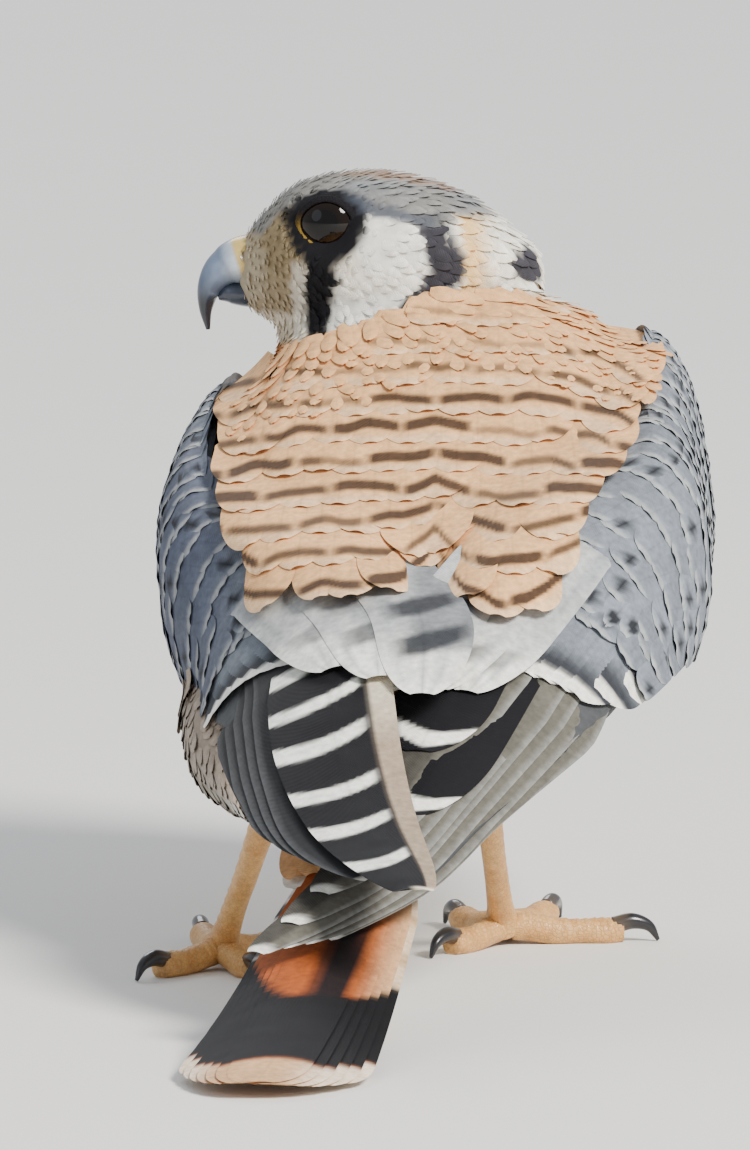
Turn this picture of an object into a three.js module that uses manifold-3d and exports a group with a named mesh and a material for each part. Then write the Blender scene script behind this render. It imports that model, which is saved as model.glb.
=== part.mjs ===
// American kestrel, male, life size: a still model of the bird standing with its head turned left.
//
// Millimetres, +Z up. X runs to the bird's right, Y the way its body faces. The shapes are drawn
// with the right foot near y = 0 on a floor at z = 0. The last lines move the whole bird so that the
// origin lies on the floor under the middle of its box.
//
// The bird is a set of closed skins: the torso, neck, head and thighs are lofts through named
// stations, the wings and the tail are surfaces that carry their feathers as overlapping vanes.

import * as THREE from "three";
import Module from "manifold-3d";

const wasm = await Module();
wasm.setup();

// Driving sizes

const CLEARANCE = 0.3; // left open between two pieces that touch
const ROLL = 7; // degrees that the bird's right side stands higher

const COLOURS = {
  rufous: 0xc08a5c,
  slate: 0x6d7886,
  cream: 0xe6dcc8,
  tail: 0xb5683a,
  bill: 0x8fa0b4,
  eye: 0x1a1210,
  leg: 0xc9963c,
  claw: 0x1c1c1f,
};

// Torso with mantle and rump. Each station gives, at one place along Y, the widest height, the half
// width, the rise of the back above it and how square its arch is (2 would be round), the drop of
// the belly below it and the sideways offset.
const TORSO = {
  bottom: 2.1, // squareness of the belly
  around: 28,
  along: 20,
  stations: [
    { y: 70, z: 62, half: 4, rise: 6, top: 2.2, drop: 5, x: 0 },
    { y: 66, z: 62, half: 18, rise: 17, top: 2.6, drop: 14, x: 1 },
    { y: 56, z: 60, half: 27.5, rise: 27, top: 2.9, drop: 22, x: 2 },
    { y: 42, z: 58, half: 32.5, rise: 33.5, top: 3.2, drop: 27, x: 3 },
    { y: 20, z: 55, half: 34, rise: 27, top: 3, drop: 31, x: 0 },
    { y: 0, z: 51, half: 32.5, rise: 20, top: 2.8, drop: 26.5, x: 0 },
    { y: -20, z: 46, half: 26.5, rise: 13, top: 2.6, drop: 16, x: -1 },
    { y: -40, z: 36.5, half: 17, rise: 6, top: 2.5, drop: 9.5, x: -4 },
    { y: -60, z: 26, half: 12.5, rise: 4.5, top: 2.4, drop: 5.5, x: -8 },
  ],
};

// Neck, a short thick column from the shoulders into the head, in level slices.
const NECK = {
  around: 20,
  along: 6,
  stations: [
    { z: 64, x: 0, y: 46, half: 25, front: 19, back: 19 },
    { z: 78, x: -2, y: 48, half: 22.5, front: 18, back: 16.5 },
    { z: 90, x: -4, y: 49, half: 20, front: 16, back: 15 },
    { z: 99, x: -5, y: 50, half: 15, front: 11, back: 11 },
  ],
};

// Head, turned left: its forward axis runs along -X, dipped by a few degrees.
const HEAD = {
  centre: [-7, 50, 96],
  dip: 4,
  around: 22,
  along: 16,
  crown: 2.5, // squareness above the widest line
  throat: 2.1,
  stations: [
    { s: -22.5, z: -2, half: 3, rise: 3, drop: 4 },
    { s: -20, z: -2, half: 8.5, rise: 6.5, drop: 9 },
    { s: -13, z: -1, half: 13.5, rise: 11, drop: 13 },
    { s: -4, z: 0, half: 15.8, rise: 12.9, drop: 14.5 },
    { s: 5, z: 0, half: 15.8, rise: 13.5, drop: 14 },
    { s: 13, z: 0, half: 13.2, rise: 12, drop: 11.5 },
    { s: 19, z: -0.5, half: 8, rise: 7.8, drop: 8.2 },
    { s: 22.4, z: -1, half: 4, rise: 5, drop: 5.2 },
  ],
  brow: { front: [15, 6.6, 8], rear: [1.5, 11.6, 8.4], wide: 3.2, high: 2 }, // forward, aside, up
  gape: { from: 15.5, height: -3.1, gap: 0.5 },
};

const EYE = {
  radius: 5.4,
  forward: 8.9, // from the head's centre along its axis
  aside: 7.6, // from the head's middle plane
  up: 6.3,
  lid: 0.6, // thickness of the lids over the eyeball
  opening: 3.9, // radius left open between the lids
  turn: 12, // degrees that the openings face forward
};

// Bill, as lines of forward and up places with the radius there; the sides bulge by the given part.
const BILL = {
  upper: { line: [[18, 1.2], [22, 1], [25, -0.3], [26.9, -2.7], [27.7, -5.7], [27.6, -8.9]],
    radii: [3.4, 3.2, 2.6, 1.8, 1, 0.3], wide: 1.1, around: 12, steps: 10 },
  lower: { line: [[17, -4.2], [21, -4.4], [24, -4.3], [25.6, -4.1]],
    radii: [1.9, 1.8, 1.2, 0.5], wide: 1.5, around: 10, steps: 5 },
  nostril: { forward: 22.2, aside: 3.6, up: 2, radius: 0.85 },
};

// Wings. A folded wing is a sheet between its leading edge, which runs low along the flank and on to
// the tip, and its inner edge along the back. Over the body it wraps the torso: each front station
// gives the torso's angles, from the spine, of both edges and the sheet's height over the torso, at
// its leading edge and between the edges. Behind, each wing lies where its own stations say, with a
// bow between the edges and its depth.
const WING = {
  front: [
    { y: 64, lead: 98, inner: 78, low: 1.2, height: 1.5 },
    { y: 58, lead: 112, inner: 66, low: 2.2, height: 3 },
    { y: 44, lead: 117, inner: 60, low: 3.2, height: 4.6 },
    { y: 20, lead: 116, inner: 58, low: 4.4, height: 6 },
    { y: 0, lead: 113, inner: 50, low: 6.4, height: 7 },
    { y: -20, lead: 108, inner: 20, low: 9.5, height: 6.5 },
  ],
  inside: 0.8, // the sheet's own height over the torso on its inside
  innerHeight: 2.4, // of the inner edge over the torso
  leaving: [6, -46], // between these places the wing leaves the body for its rear stations
  right: [
    { y: -20, leadX: 34, leadZ: 42.5, innerX: 6, innerZ: 61.5, bow: 5, depth: 7 },
    { y: -45, leadX: 24, leadZ: 37, innerX: -2, innerZ: 47, bow: 3, depth: 2.6 },
    { y: -68, leadX: 9.3, leadZ: 28.6, innerX: -10, innerZ: 32.5, bow: 1.2, depth: 1.6 },
    { y: -85, leadX: -2, leadZ: 20.8, innerX: -18, innerZ: 24, bow: 0.6, depth: 1.3 },
    { y: -108, leadX: -25, leadZ: 12.8, innerX: -32, innerZ: 13.8, bow: 0.2, depth: 0.9 },
  ],
  left: [
    { y: -20, leadX: -36, leadZ: 38.5, innerX: -5, innerZ: 60.5, bow: 5, depth: 7 },
    { y: -45, leadX: -33.5, leadZ: 36.5, innerX: -4, innerZ: 50.5, bow: 3, depth: 2.2 },
    { y: -68, leadX: -29.5, leadZ: 32.5, innerX: -5, innerZ: 38, bow: 1.5, depth: 1.8 },
    { y: -88, leadX: -23.5, leadZ: 26.6, innerX: -3, innerZ: 29.5, bow: 1, depth: 1.3 },
    { y: -112, leadX: -7.5, leadZ: 23, innerX: -1.5, innerZ: 23.5, bow: 0.3, depth: 0.9 },
  ],
  rows: 13,
  columns: 5,
  coreEnd: -84,
  inset: 0.14, // of the core from each edge behind the body, as a share of the width
  sink: 1.1, // of the core under the surface there
  room: 3.2, // kept free on each side of the wing's surfaces
  roomBelow: 0.4, // share of it on the inside
  roomEdge: 0.2,
};

// Feathers on a folded wing, in tiers. A feather runs over the wing's surface from its root to its
// tip, each given as the share across the wing and the place along Y. Every feather of a tier lies
// a step higher than the one outside it, from the tier's own lift over the surface.
const LONG_VANE = [0, 0.3, 0.68, 0.9, 1]; // the rows of a vane, as parts of its length
const SHORT_VANE = [0, 0.42, 0.82, 1];
const FEATHERS = {
  sheet: 0.8, // thickness of a vane
  step: 0.42,
  blunt: 0.62, // from here on a vane rounds off to its tip
  right: [
    { rows: LONG_VANE, width: 10, lift: -1.7, roots: [[0.16, -24], [0.7, -30]],
      tips: [[0.1, -99], [0.3, -108], [0.55, -103], [0.75, -95], [0.84, -87], [0.8, -76], [0.7, -62]] },
    { rows: SHORT_VANE, width: 14, lift: -0.4, roots: [[0.2, -12], [0.62, -15]],
      tips: [[0.13, -44], [0.27, -45], [0.41, -45], [0.54, -44], [0.67, -43]] },
    { rows: SHORT_VANE, width: 14, lift: 1, roots: [[0.7, -16], [0.82, -14]],
      tips: [[0.74, -51], [0.86, -46]] },
    { rows: SHORT_VANE, width: 14, lift: 0.6, roots: [[0.2, 8], [0.7, 3]],
      tips: [[0.14, -21], [0.32, -23], [0.5, -24], [0.68, -23]] },
  ],
  left: [
    { rows: LONG_VANE, width: 11, lift: -1.9, roots: [[0.18, -24], [0.8, -30]],
      tips: [[0.12, -80], [0.14, -87], [0.2, -93], [0.42, -108], [0.66, -111], [0.86, -112]] },
    { rows: SHORT_VANE, width: 14, lift: -0.4, roots: [[0.2, -12], [0.62, -15]],
      tips: [[0.13, -45], [0.27, -46], [0.41, -46], [0.54, -45], [0.67, -44]] },
    { rows: SHORT_VANE, width: 14, lift: 1, roots: [[0.7, -16], [0.82, -14]],
      tips: [[0.72, -55], [0.86, -50]] },
    { rows: SHORT_VANE, width: 14, lift: 0.6, roots: [[0.2, 8], [0.7, 3]],
      tips: [[0.14, -21], [0.32, -23], [0.5, -24], [0.68, -23]] },
  ],
};

// Tail
const TAIL = {
  root: [-10, -60, 25.5],
  tip: [-26.6, -151, 1.6],
  rounding: 13.4, // the outer feathers end this much short of the longest ones
  longest: 0.1, // where those lie, as a part of the half width
  sag: 4.1, // the tail's line lies this much below a straight one, half way
  rootHalf: 9.5,
  tipHalf: 14.4,
  crown: 2.2,
  coreLength: 30,
  count: 12, // feathers
  featherWidth: 11.5,
  fan: 0.72, // of the outermost feather's tip, as a share of the tail's half width there
  lift: -1.05, // of the outermost feathers over the tail's surface
  step: 0.38, // each feather lies this much higher than the next one out
};

// Legs. A foot's toes are given by their heading in degrees from +Y, clockwise seen from above.
const LEG = {
  tarsusRadius: 1.75,
  toeRadius: 1.9,
  floorFlat: 0.35, // the pads are cut flat this far up
  thighRadii: [6, 12.5, 10.5, 4.6],
  right: { thigh: [[9, 24, 44], [13, 10, 41], [10, -9, 33.5], [7, -27, 27.5]], foot: [9.6, 1, 3.4] },
  left: { thigh: [[-17, 17, 43], [-25, 2, 37], [-28, -19, 32], [-24.5, -47, 27]], foot: [-31.5, -22, 3.4] },
};

const TOES = {
  right: [
    { name: "hallux", heading: 215, length: 13 },
    { name: "inner", heading: -22, length: 17 },
    { name: "middle", heading: 18, length: 23 },
    { name: "outer", heading: 82, length: 18 },
  ],
  left: [
    { name: "hallux", heading: 160, length: 13 },
    { name: "inner", heading: 30, length: 17 },
    { name: "middle", heading: -8, length: 23 },
    { name: "outer", heading: -140, length: 14 },
  ],
};

// Small helpers

const radians = THREE.MathUtils.degToRad;
const lerp = THREE.MathUtils.lerp;
const vec = (x, y, z) => new THREE.Vector3(x, y, z);
const from = (list) => new THREE.Vector3(...list);

// The value of one field of a list of stations at a place between them, on a smooth curve.
function between(stations, key, place, field) {
  const ascending = stations[0][key] < stations[stations.length - 1][key];
  const list = ascending ? stations : [...stations].reverse();
  const last = list.length - 1;
  const at = Math.min(Math.max(place, list[0][key]), list[last][key]);
  let i = 0;
  while (i < last - 1 && at > list[i + 1][key]) {
    i += 1;
  }
  const slope = (j) => {
    const a = list[Math.max(j - 1, 0)];
    const b = list[Math.min(j + 1, last)];
    return (b[field] - a[field]) / (b[key] - a[key]);
  };
  const span = list[i + 1][key] - list[i][key];
  const t = (at - list[i][key]) / span;
  const start = list[i][field] * (2 * t ** 3 - 3 * t ** 2 + 1);
  const end = list[i + 1][field] * (3 * t ** 2 - 2 * t ** 3);
  const leaving = slope(i) * span * (t ** 3 - 2 * t ** 2 + t);
  const arriving = slope(i + 1) * span * (t ** 3 - t ** 2);
  return start + leaving + end + arriving;
}

const signedPower = (value, power) => Math.sign(value) * Math.abs(value) ** power;

// A geometry from corner points and triangles that name them by number.
function geometryOf(points, triangles) {
  const geometry = new THREE.BufferGeometry();
  const flat = points.flatMap((point) => [point.x, point.y, point.z]);
  geometry.setAttribute("position", new THREE.Float32BufferAttribute(flat, 3));
  geometry.setIndex(triangles.flat());
  return geometry;
}

// Rings of equally many points joined into one skin, closed at each end by a fan.
function loft(rings) {
  const size = rings[0].length;
  const points = rings.flat();
  const triangles = [];
  for (let r = 0; r < rings.length - 1; r += 1) {
    for (let k = 0; k < size; k += 1) {
      const a = r * size + k;
      const b = r * size + ((k + 1) % size);
      triangles.push([a, b, b + size], [a, b + size, a + size]);
    }
  }
  for (const [ring, forward] of [[0, false], [rings.length - 1, true]]) {
    const middle = rings[ring].reduce((sum, point) => sum.add(point), vec(0, 0, 0));
    const hub = points.push(middle.divideScalar(size)) - 1;
    for (let k = 0; k < size; k += 1) {
      const a = ring * size + k;
      const b = ring * size + ((k + 1) % size);
      triangles.push(forward ? [a, b, hub] : [b, a, hub]);
    }
  }
  return faceOut(geometryOf(points, triangles));
}

// Turns every triangle round if the skin's volume comes out negative.
function faceOut(geometry) {
  const at = geometry.getAttribute("position");
  const index = geometry.getIndex();
  const corner = (i) => vec(at.getX(index.getX(i)), at.getY(index.getX(i)), at.getZ(index.getX(i)));
  let volume = 0;
  for (let i = 0; i < index.count; i += 3) {
    volume += corner(i).dot(corner(i + 1).cross(corner(i + 2)));
  }
  if (volume < 0) {
    for (let i = 0; i < index.count; i += 3) {
      const kept = index.getX(i + 1);
      index.setX(i + 1, index.getX(i + 2));
      index.setX(i + 2, kept);
    }
  }
  return geometry;
}

// Solids for joining and cutting

function solid(geometry) {
  const vertProperties = Float32Array.from(geometry.getAttribute("position").array);
  const triVerts = Uint32Array.from(geometry.getIndex().array);
  return new wasm.Manifold(new wasm.Mesh({ numProp: 3, vertProperties, triVerts }));
}

// Joins all the solids and leaves out the room that others take.
function fuse(solids, others = []) {
  let sum = solids[0];
  for (const piece of solids.slice(1)) {
    sum = sum.add(piece);
  }
  for (const other of others) {
    sum = sum.subtract(other);
  }
  return sum;
}

// The largest closed surface of a solid, as a geometry.
function skinOf(whole) {
  const pieces = whole.decompose();
  const largest = pieces.reduce((a, b) => (a.volume() > b.volume() ? a : b));
  const mesh = largest.getMesh();
  const geometry = new THREE.BufferGeometry();
  geometry.setAttribute("position", new THREE.Float32BufferAttribute(mesh.vertProperties, 3));
  geometry.setIndex([...mesh.triVerts]);
  return geometry;
}

// Body lofts

// One ring of a body: an arch above the widest line and another below it.
function section(centre, across, up, size, top, bottom, count) {
  const ring = [];
  for (let k = 0; k < count; k += 1) {
    const angle = (k / count) * 2 * Math.PI;
    const side = Math.sin(angle);
    const height = Math.cos(angle);
    const power = 2 / (height > 0 ? top : bottom);
    const reach = height > 0 ? size.rise : size.drop;
    const point = centre.clone();
    point.addScaledVector(across, size.half * signedPower(side, power));
    point.addScaledVector(up, reach * signedPower(height, power));
    ring.push(point);
  }
  return ring;
}

// The torso's axes across and up.
function torsoAxes() {
  const roll = radians(ROLL);
  return [vec(Math.cos(roll), 0, Math.sin(roll)), vec(-Math.sin(roll), 0, Math.cos(roll))];
}

// A point at a height over the torso, at an angle from the spine towards the bird's right.
function torsoPoint(y, degrees, height) {
  const [across, up] = torsoAxes();
  const at = (field) => between(TORSO.stations, "y", y, field);
  const side = Math.sin(radians(degrees));
  const level = Math.cos(radians(degrees));
  const power = 2 / (level > 0 ? at("top") : TORSO.bottom);
  const reach = at(level > 0 ? "rise" : "drop") + height;
  return vec(at("x"), y, at("z"))
    .addScaledVector(across, (at("half") + height) * signedPower(side, power))
    .addScaledVector(up, reach * signedPower(level, power));
}

function torso(grow = 0) {
  const first = TORSO.stations[0].y;
  const last = TORSO.stations[TORSO.stations.length - 1].y;
  const rings = [];
  for (let i = 0; i <= TORSO.along; i += 1) {
    const part = (1 - Math.cos((Math.PI * i) / TORSO.along)) / 2;
    const y = lerp(first, last, lerp(i / TORSO.along, part, 0.5));
    const end = i === 0 ? grow : i === TORSO.along ? -grow : 0;
    const ring = [];
    for (let k = 0; k < TORSO.around; k += 1) {
      ring.push(torsoPoint(y, (360 * k) / TORSO.around, grow).add(vec(0, end, 0)));
    }
    rings.push(ring);
  }
  return loft(rings);
}

// The head's own axes in the bird's frame.
function headFrame() {
  const dip = radians(HEAD.dip);
  const forward = vec(-Math.cos(dip), 0, -Math.sin(dip));
  const up = vec(-Math.sin(dip), 0, Math.cos(dip));
  const left = up.clone().cross(forward);
  const place = (s, aside, z) => from(HEAD.centre)
    .addScaledVector(forward, s)
    .addScaledVector(left, aside)
    .addScaledVector(up, z);
  return { forward, up, left, place };
}

function headLoft(grow = 0) {
  const { up, left, place } = headFrame();
  const first = HEAD.stations[0].s;
  const last = HEAD.stations[HEAD.stations.length - 1].s;
  const rings = [];
  for (let i = 0; i <= HEAD.along; i += 1) {
    const part = (1 - Math.cos((Math.PI * i) / HEAD.along)) / 2;
    const s = lerp(first, last, part);
    const at = (field) => between(HEAD.stations, "s", s, field);
    const size = { half: at("half") + grow, rise: at("rise") + grow, drop: at("drop") + grow };
    const end = i === 0 ? -grow : i === HEAD.along ? grow : 0;
    const centre = place(s + end, 0, at("z"));
    rings.push(section(centre, left, up, size, HEAD.crown, HEAD.throat, HEAD.around));
  }
  return loft(rings);
}

function neck() {
  const first = NECK.stations[0].z;
  const last = NECK.stations[NECK.stations.length - 1].z;
  const rings = [];
  for (let i = 0; i <= NECK.along; i += 1) {
    const z = lerp(first, last, i / NECK.along);
    const at = (field) => between(NECK.stations, "z", z, field);
    const size = { half: at("half"), rise: at("front"), drop: at("back") };
    rings.push(section(vec(at("x"), at("y"), z), vec(1, 0, 0), vec(0, 1, 0), size, 2, 2, NECK.around));
  }
  return loft(rings);
}

function ball(centre, radius, across = 14, down = 10) {
  return bean(centre, [vec(radius, 0, 0), vec(0, radius, 0), vec(0, 0, radius)], across, down);
}

// A ball stretched to three half axes.
function bean(centre, [a, b, c], across = 14, down = 10) {
  const rings = [];
  for (let i = 1; i < down; i += 1) {
    const angle = (Math.PI * i) / down;
    const ring = [];
    for (let k = 0; k < across; k += 1) {
      const turn = (2 * Math.PI * k) / across;
      ring.push(centre.clone()
        .addScaledVector(a, Math.sin(angle) * Math.cos(turn))
        .addScaledVector(b, Math.sin(angle) * Math.sin(turn))
        .addScaledVector(c, Math.cos(angle)));
    }
    rings.push(ring);
  }
  return loft(rings);
}

// A point on a surface, its direction across and the way out of it.
function onSurface(surface, p, y, turn) {
  const small = 0.01;
  const across = surface(p + small, y).sub(surface(p - small, y)).normalize();
  const along = surface(p, y + 1).sub(surface(p, y - 1)).normalize();
  const out = along.clone().cross(across).normalize().multiplyScalar(turn);
  return { here: surface(p, y), across, out };
}

// A feather on a surface: a curved plate, split alike on both faces, that is sunk at its root, is
// narrower there, and rounds off at its tip.
function vane(surface, turn, { root, tip, rows, width, lift }) {
  const { blunt, sheet } = FEATHERS;
  const tops = [];
  const bottoms = [];
  for (const t of rows) {
    const { here, across, out } = onSurface(surface, lerp(root[0], tip[0], t), lerp(root[1], tip[1], t), turn);
    const past = Math.max(0, (t - blunt) / (1 - blunt));
    const half = (width / 2) * Math.min(1, 0.6 + 1.2 * t) * Math.sqrt(1 - (0.95 * past) ** 2);
    const height = lerp(Math.min(-sheet, lift), lift, Math.min(1, t / rows[1]));
    for (const side of [-1, 0, 1]) {
      const point = here.clone().addScaledVector(across, side * half);
      tops.push(point.clone().addScaledVector(out, height + sheet / 2));
      bottoms.push(point.clone().addScaledVector(out, height - sheet / 2));
    }
  }
  const count = tops.length;
  const triangles = [];
  for (let a = 0; a < count - 3; a += 1) {
    if (a % 3 < 2) {
      for (const [i, j, k] of [[a, a + 1, a + 4], [a, a + 4, a + 3]]) {
        triangles.push([i, j, k], [k + count, j + count, i + count]);
      }
    }
  }
  for (const [i, j] of rimOf(rows.length)) {
    triangles.push([j, i, i + count], [j, i + count, j + count]);
  }
  return faceOut(geometryOf([...tops, ...bottoms], triangles));
}

// The edges round a grid of three columns, as pairs of corner numbers.
function rimOf(rows) {
  const last = rows * 3 - 1;
  const rim = [[0, 1], [1, 2], [last, last - 1], [last - 1, last - 2]];
  for (let r = 0; r < rows - 1; r += 1) {
    rim.push([(r + 1) * 3, r * 3], [r * 3 + 2, (r + 1) * 3 + 2]);
  }
  return rim;
}

// All the vanes of one tier, from the outermost in.
function tierOf(surface, turn, { roots, tips, ...shape }) {
  const last = Math.max(1, tips.length - 1);
  return tips.map((tip, i) => {
    const root = [0, 1].map((k) => lerp(roots[0][k], roots[1][k], i / last));
    return solid(vane(surface, turn, { ...shape, root, tip, lift: shape.lift + FEATHERS.step * i }));
  });
}

// Wings

// The outside or the inside of a wing, by the share p from its leading edge to its inner edge.
function wingSurface(side, inside = false) {
  const sign = side === "right" ? 1 : -1;
  const overBody = (p, y) => {
    const at = (field) => between(WING.front, "y", y, field);
    const middle = at("height");
    const edge = lerp(at("low"), Math.min(middle, WING.innerHeight), p);
    const height = lerp(edge, middle, Math.sqrt(Math.max(0, 4 * p * (1 - p))));
    return torsoPoint(y, sign * lerp(at("lead"), at("inner"), p), inside ? WING.inside : height);
  };
  const behind = (p, y) => {
    const at = (field) => between(WING[side], "y", y, field);
    const lead = vec(at("leadX"), y, at("leadZ"));
    const chord = vec(at("innerX"), y, at("innerZ")).sub(lead);
    const out = vec(chord.z, 0, -chord.x).normalize().multiplyScalar(sign);
    const edge = Math.min(1, Math.abs(2 * p - 1)) * 0.9;
    const deep = inside ? at("depth") * Math.sqrt(1 - edge ** 4) : 0;
    return lead.addScaledVector(chord, p).addScaledVector(out, at("bow") * 4 * p * (1 - p) - deep);
  };
  const [start, end] = WING.leaving;
  return (p, y) => {
    const share = 1 - THREE.MathUtils.smoothstep(y, end, start);
    if (share <= 0) {
      return overBody(p, y);
    }
    return share >= 1 ? behind(p, y) : overBody(p, y).lerp(behind(p, y), share);
  };
}

// A plate between the wing's two surfaces. As the core of the feathers it stops short of the tip, and
// behind the body it is narrower and lies lower than they do. As the room that the wing takes, it is
// grown on all sides.
function wingPlate(side, room = 0) {
  const surface = wingSurface(side);
  const lining = wingSurface(side, true);
  const turn = side === "right" ? 1 : -1;
  const first = WING.front[0].y;
  const rear = room > 0 ? WING[side][WING[side].length - 1].y : WING.coreEnd;
  const rings = [];
  for (let i = 0; i <= WING.rows; i += 1) {
    const part = i / WING.rows;
    const y = lerp(first, rear, lerp(part, part * part, 0.5));
    const behind = room > 0 ? 0 : 1 - THREE.MathUtils.smoothstep(y, -44, -20);
    const outer = [];
    const inside = [];
    for (let k = 0; k <= WING.columns; k += 1) {
      const inset = WING.inset * behind;
      const wide = room > 0 ? WING.roomEdge : 0;
      const p = lerp(inset - wide, 1 - inset + wide, k / WING.columns);
      const { here, out } = onSurface(surface, p, y, turn);
      outer.push(here.clone().addScaledVector(out, room - WING.sink * behind));
      inside.push(lining(p, y).addScaledVector(out, -room * WING.roomBelow));
    }
    rings.push([...outer, ...inside.reverse()]);
  }
  return loft(rings);
}

function wing(side, others) {
  const surface = wingSurface(side);
  const turn = side === "right" ? 1 : -1;
  const vanes = FEATHERS[side].flatMap((tier) => tierOf(surface, turn, tier));
  return fuse([solid(wingPlate(side)), ...vanes], others);
}

// Tail

function tailSurface(p, y) {
  const root = from(TAIL.root);
  const tip = from(TAIL.tip);
  const t = (root.y - y) / (root.y - tip.y);
  const point = root.clone().lerp(tip, t);
  point.z -= TAIL.sag * 4 * t * (1 - t);
  point.x += p * lerp(TAIL.rootHalf, TAIL.tipHalf, t);
  point.z -= TAIL.crown * (1 - 0.6 * t) * p * p;
  return point;
}

function tailCore() {
  const [across, up] = torsoAxes();
  const rear = TORSO.stations[TORSO.stations.length - 1];
  const rings = [];
  const steps = 8;
  for (let i = 0; i <= steps; i += 1) {
    const t = i / steps;
    const y = TAIL.root[1] - CLEARANCE - TAIL.coreLength * t;
    const centre = tailSurface(0, y).lerp(vec(rear.x, y, rear.z), Math.max(0, 1 - 3 * t));
    const half = lerp(rear.half, 5, t ** 1.5);
    const rise = lerp(rear.rise, 0.9, t ** 0.8);
    const drop = lerp(rear.drop, 0.9, t ** 0.8);
    rings.push(section(centre, across, up, { half, rise, drop }, 2.3, 2.1, 20));
  }
  return loft(rings);
}

// The tail's feathers lie over one another from both sides to the middle pair.
function tail(others) {
  const vanes = [];
  const half = TAIL.count / 2;
  for (let i = 0; i < TAIL.count; i += 1) {
    const order = Math.min(i, TAIL.count - 1 - i);
    const spread = ((half - 0.5 - order) / half) * (i < half ? -1 : 1);
    const tipY = TAIL.tip[1] + TAIL.rounding * (spread - TAIL.longest) ** 2;
    const lift = TAIL.lift + TAIL.step * (order + (i < half ? 0 : 0.5));
    const shape = { rows: LONG_VANE, width: TAIL.featherWidth, lift };
    shape.root = [spread * 0.5, TAIL.root[1] - 9];
    shape.tip = [spread * TAIL.fan, tipY];
    vanes.push(solid(vane(tailSurface, -1, shape)));
  }
  return skinOf(fuse([solid(tailCore()), ...vanes], others));
}

// Legs and feet

// A rod along a line, with a radius at each point of it.
function rod(points, radii, around = 12, steps = (points.length - 1) * 2, wide = 1) {
  const line = new THREE.CatmullRomCurve3(points);
  const widths = new THREE.CatmullRomCurve3(radii.map((radius, i) => vec(i, radius, 0)));
  const start = line.getTangent(0);
  const guide = Math.abs(start.z) > 0.9 ? vec(0, 1, 0) : vec(0, 0, 1);
  const across = start.cross(guide).normalize();
  const rings = [];
  for (let i = 0; i <= steps; i += 1) {
    const t = i / steps;
    const radius = widths.getPoint(t).y;
    const tangent = line.getTangent(t);
    across.addScaledVector(tangent, -across.dot(tangent)).normalize();
    const up = across.clone().cross(tangent).normalize();
    const size = { half: radius * wide, rise: radius, drop: radius };
    rings.push(section(line.getPoint(t), across, up, size, 2, 2, around));
  }
  return loft(rings);
}

const FLOOR = solid(blockUnder());

// A slab whose top is the floor.
function blockUnder() {
  const box = new THREE.BoxGeometry(400, 400, 20).toNonIndexed();
  const corners = [];
  const found = new Map();
  const at = box.getAttribute("position");
  const index = [];
  for (let i = 0; i < at.count; i += 1) {
    const name = [at.getX(i), at.getY(i), at.getZ(i)].join();
    if (!found.has(name)) {
      found.set(name, corners.push(vec(at.getX(i), at.getY(i), at.getZ(i) - 10)) - 1);
    }
    index.push(found.get(name));
  }
  return geometryOf(corners, [index]);
}

function toeLine(side, toe) {
  const foot = from(LEG[side].foot);
  const turn = radians(toe.heading);
  const heading = vec(Math.sin(turn), Math.cos(turn), 0);
  const level = LEG.toeRadius - LEG.floorFlat;
  const at = (share, z) => vec(foot.x, foot.y, z).addScaledVector(heading, toe.length * share);
  return { heading, at, level };
}

function toeSolid(side, toe, grow = 0) {
  const { at, level } = toeLine(side, toe);
  const points = [[0.1, 1.2], [0.3, 0.6], [0.6, 0.1], [0.85, 0], [1, 0]];
  const line = points.map(([share, rise]) => at(share, level + rise));
  const swell = [1.05, 1.1, 1, 1.12, 0.85];
  const radii = swell.map((part) => part * LEG.toeRadius + grow);
  return solid(rod(line, radii, 10, 6));
}

function clawSolid(side, toe, grow = 0) {
  const { heading, at, level } = toeLine(side, toe);
  const start = at(1, level + 0.9).addScaledVector(heading, -1.4);
  const over = at(1, level + 1.5).addScaledVector(heading, 1.4);
  const down = at(1, level + 0.7).addScaledVector(heading, 3.9);
  const tip = at(1, 0.2).addScaledVector(heading, 5.3);
  const radii = [1.3, 1.2, 0.8, 0.28].map((radius) => radius + grow);
  return solid(rod([start, over, down, tip], radii, 8));
}

function tarsusSolid(side, grow = 0) {
  const { thigh, foot } = LEG[side];
  const top = from(thigh[thigh.length - 1]);
  const base = from(foot);
  const r = LEG.tarsusRadius + grow;
  const knot = base.clone().add(vec(0, 0, -0.6));
  const line = [top, top.clone().lerp(base, 0.5), base.clone().lerp(top, 0.12), knot];
  return solid(rod(line, [r * 1.25, r, r * 1.1, r * 1.5], 12));
}

function thighSolid(side) {
  return solid(rod(LEG[side].thigh.map(from), LEG.thighRadii, 18, 10));
}

// Parts of the head

function billSolid(shape, grow = 0) {
  const { place } = headFrame();
  const line = shape.line.map(([forward, up]) => place(forward, 0, up));
  const radii = shape.radii.map((radius) => radius + grow);
  return solid(rod(line, radii, shape.around, shape.steps, shape.wide));
}

function nostrils() {
  const { place } = headFrame();
  const { forward, aside, up, radius } = BILL.nostril;
  return [1, -1].map((way) => solid(ball(place(forward, aside * way, up), radius, 8, 6)));
}

// A thin flat slot back from the bill: the line of the mouth.
function gapeCut() {
  const { place } = headFrame();
  const { from: start, height, gap } = HEAD.gape;
  const end = HEAD.stations[HEAD.stations.length - 1].s + 2;
  const rings = [start, end].map((s) => [[-1, -1], [1, -1], [1, 1], [-1, 1]].map(
    ([aside, up]) => place(s, aside * 12, height + (up * gap) / 2),
  ));
  return solid(loft(rings));
}

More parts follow.
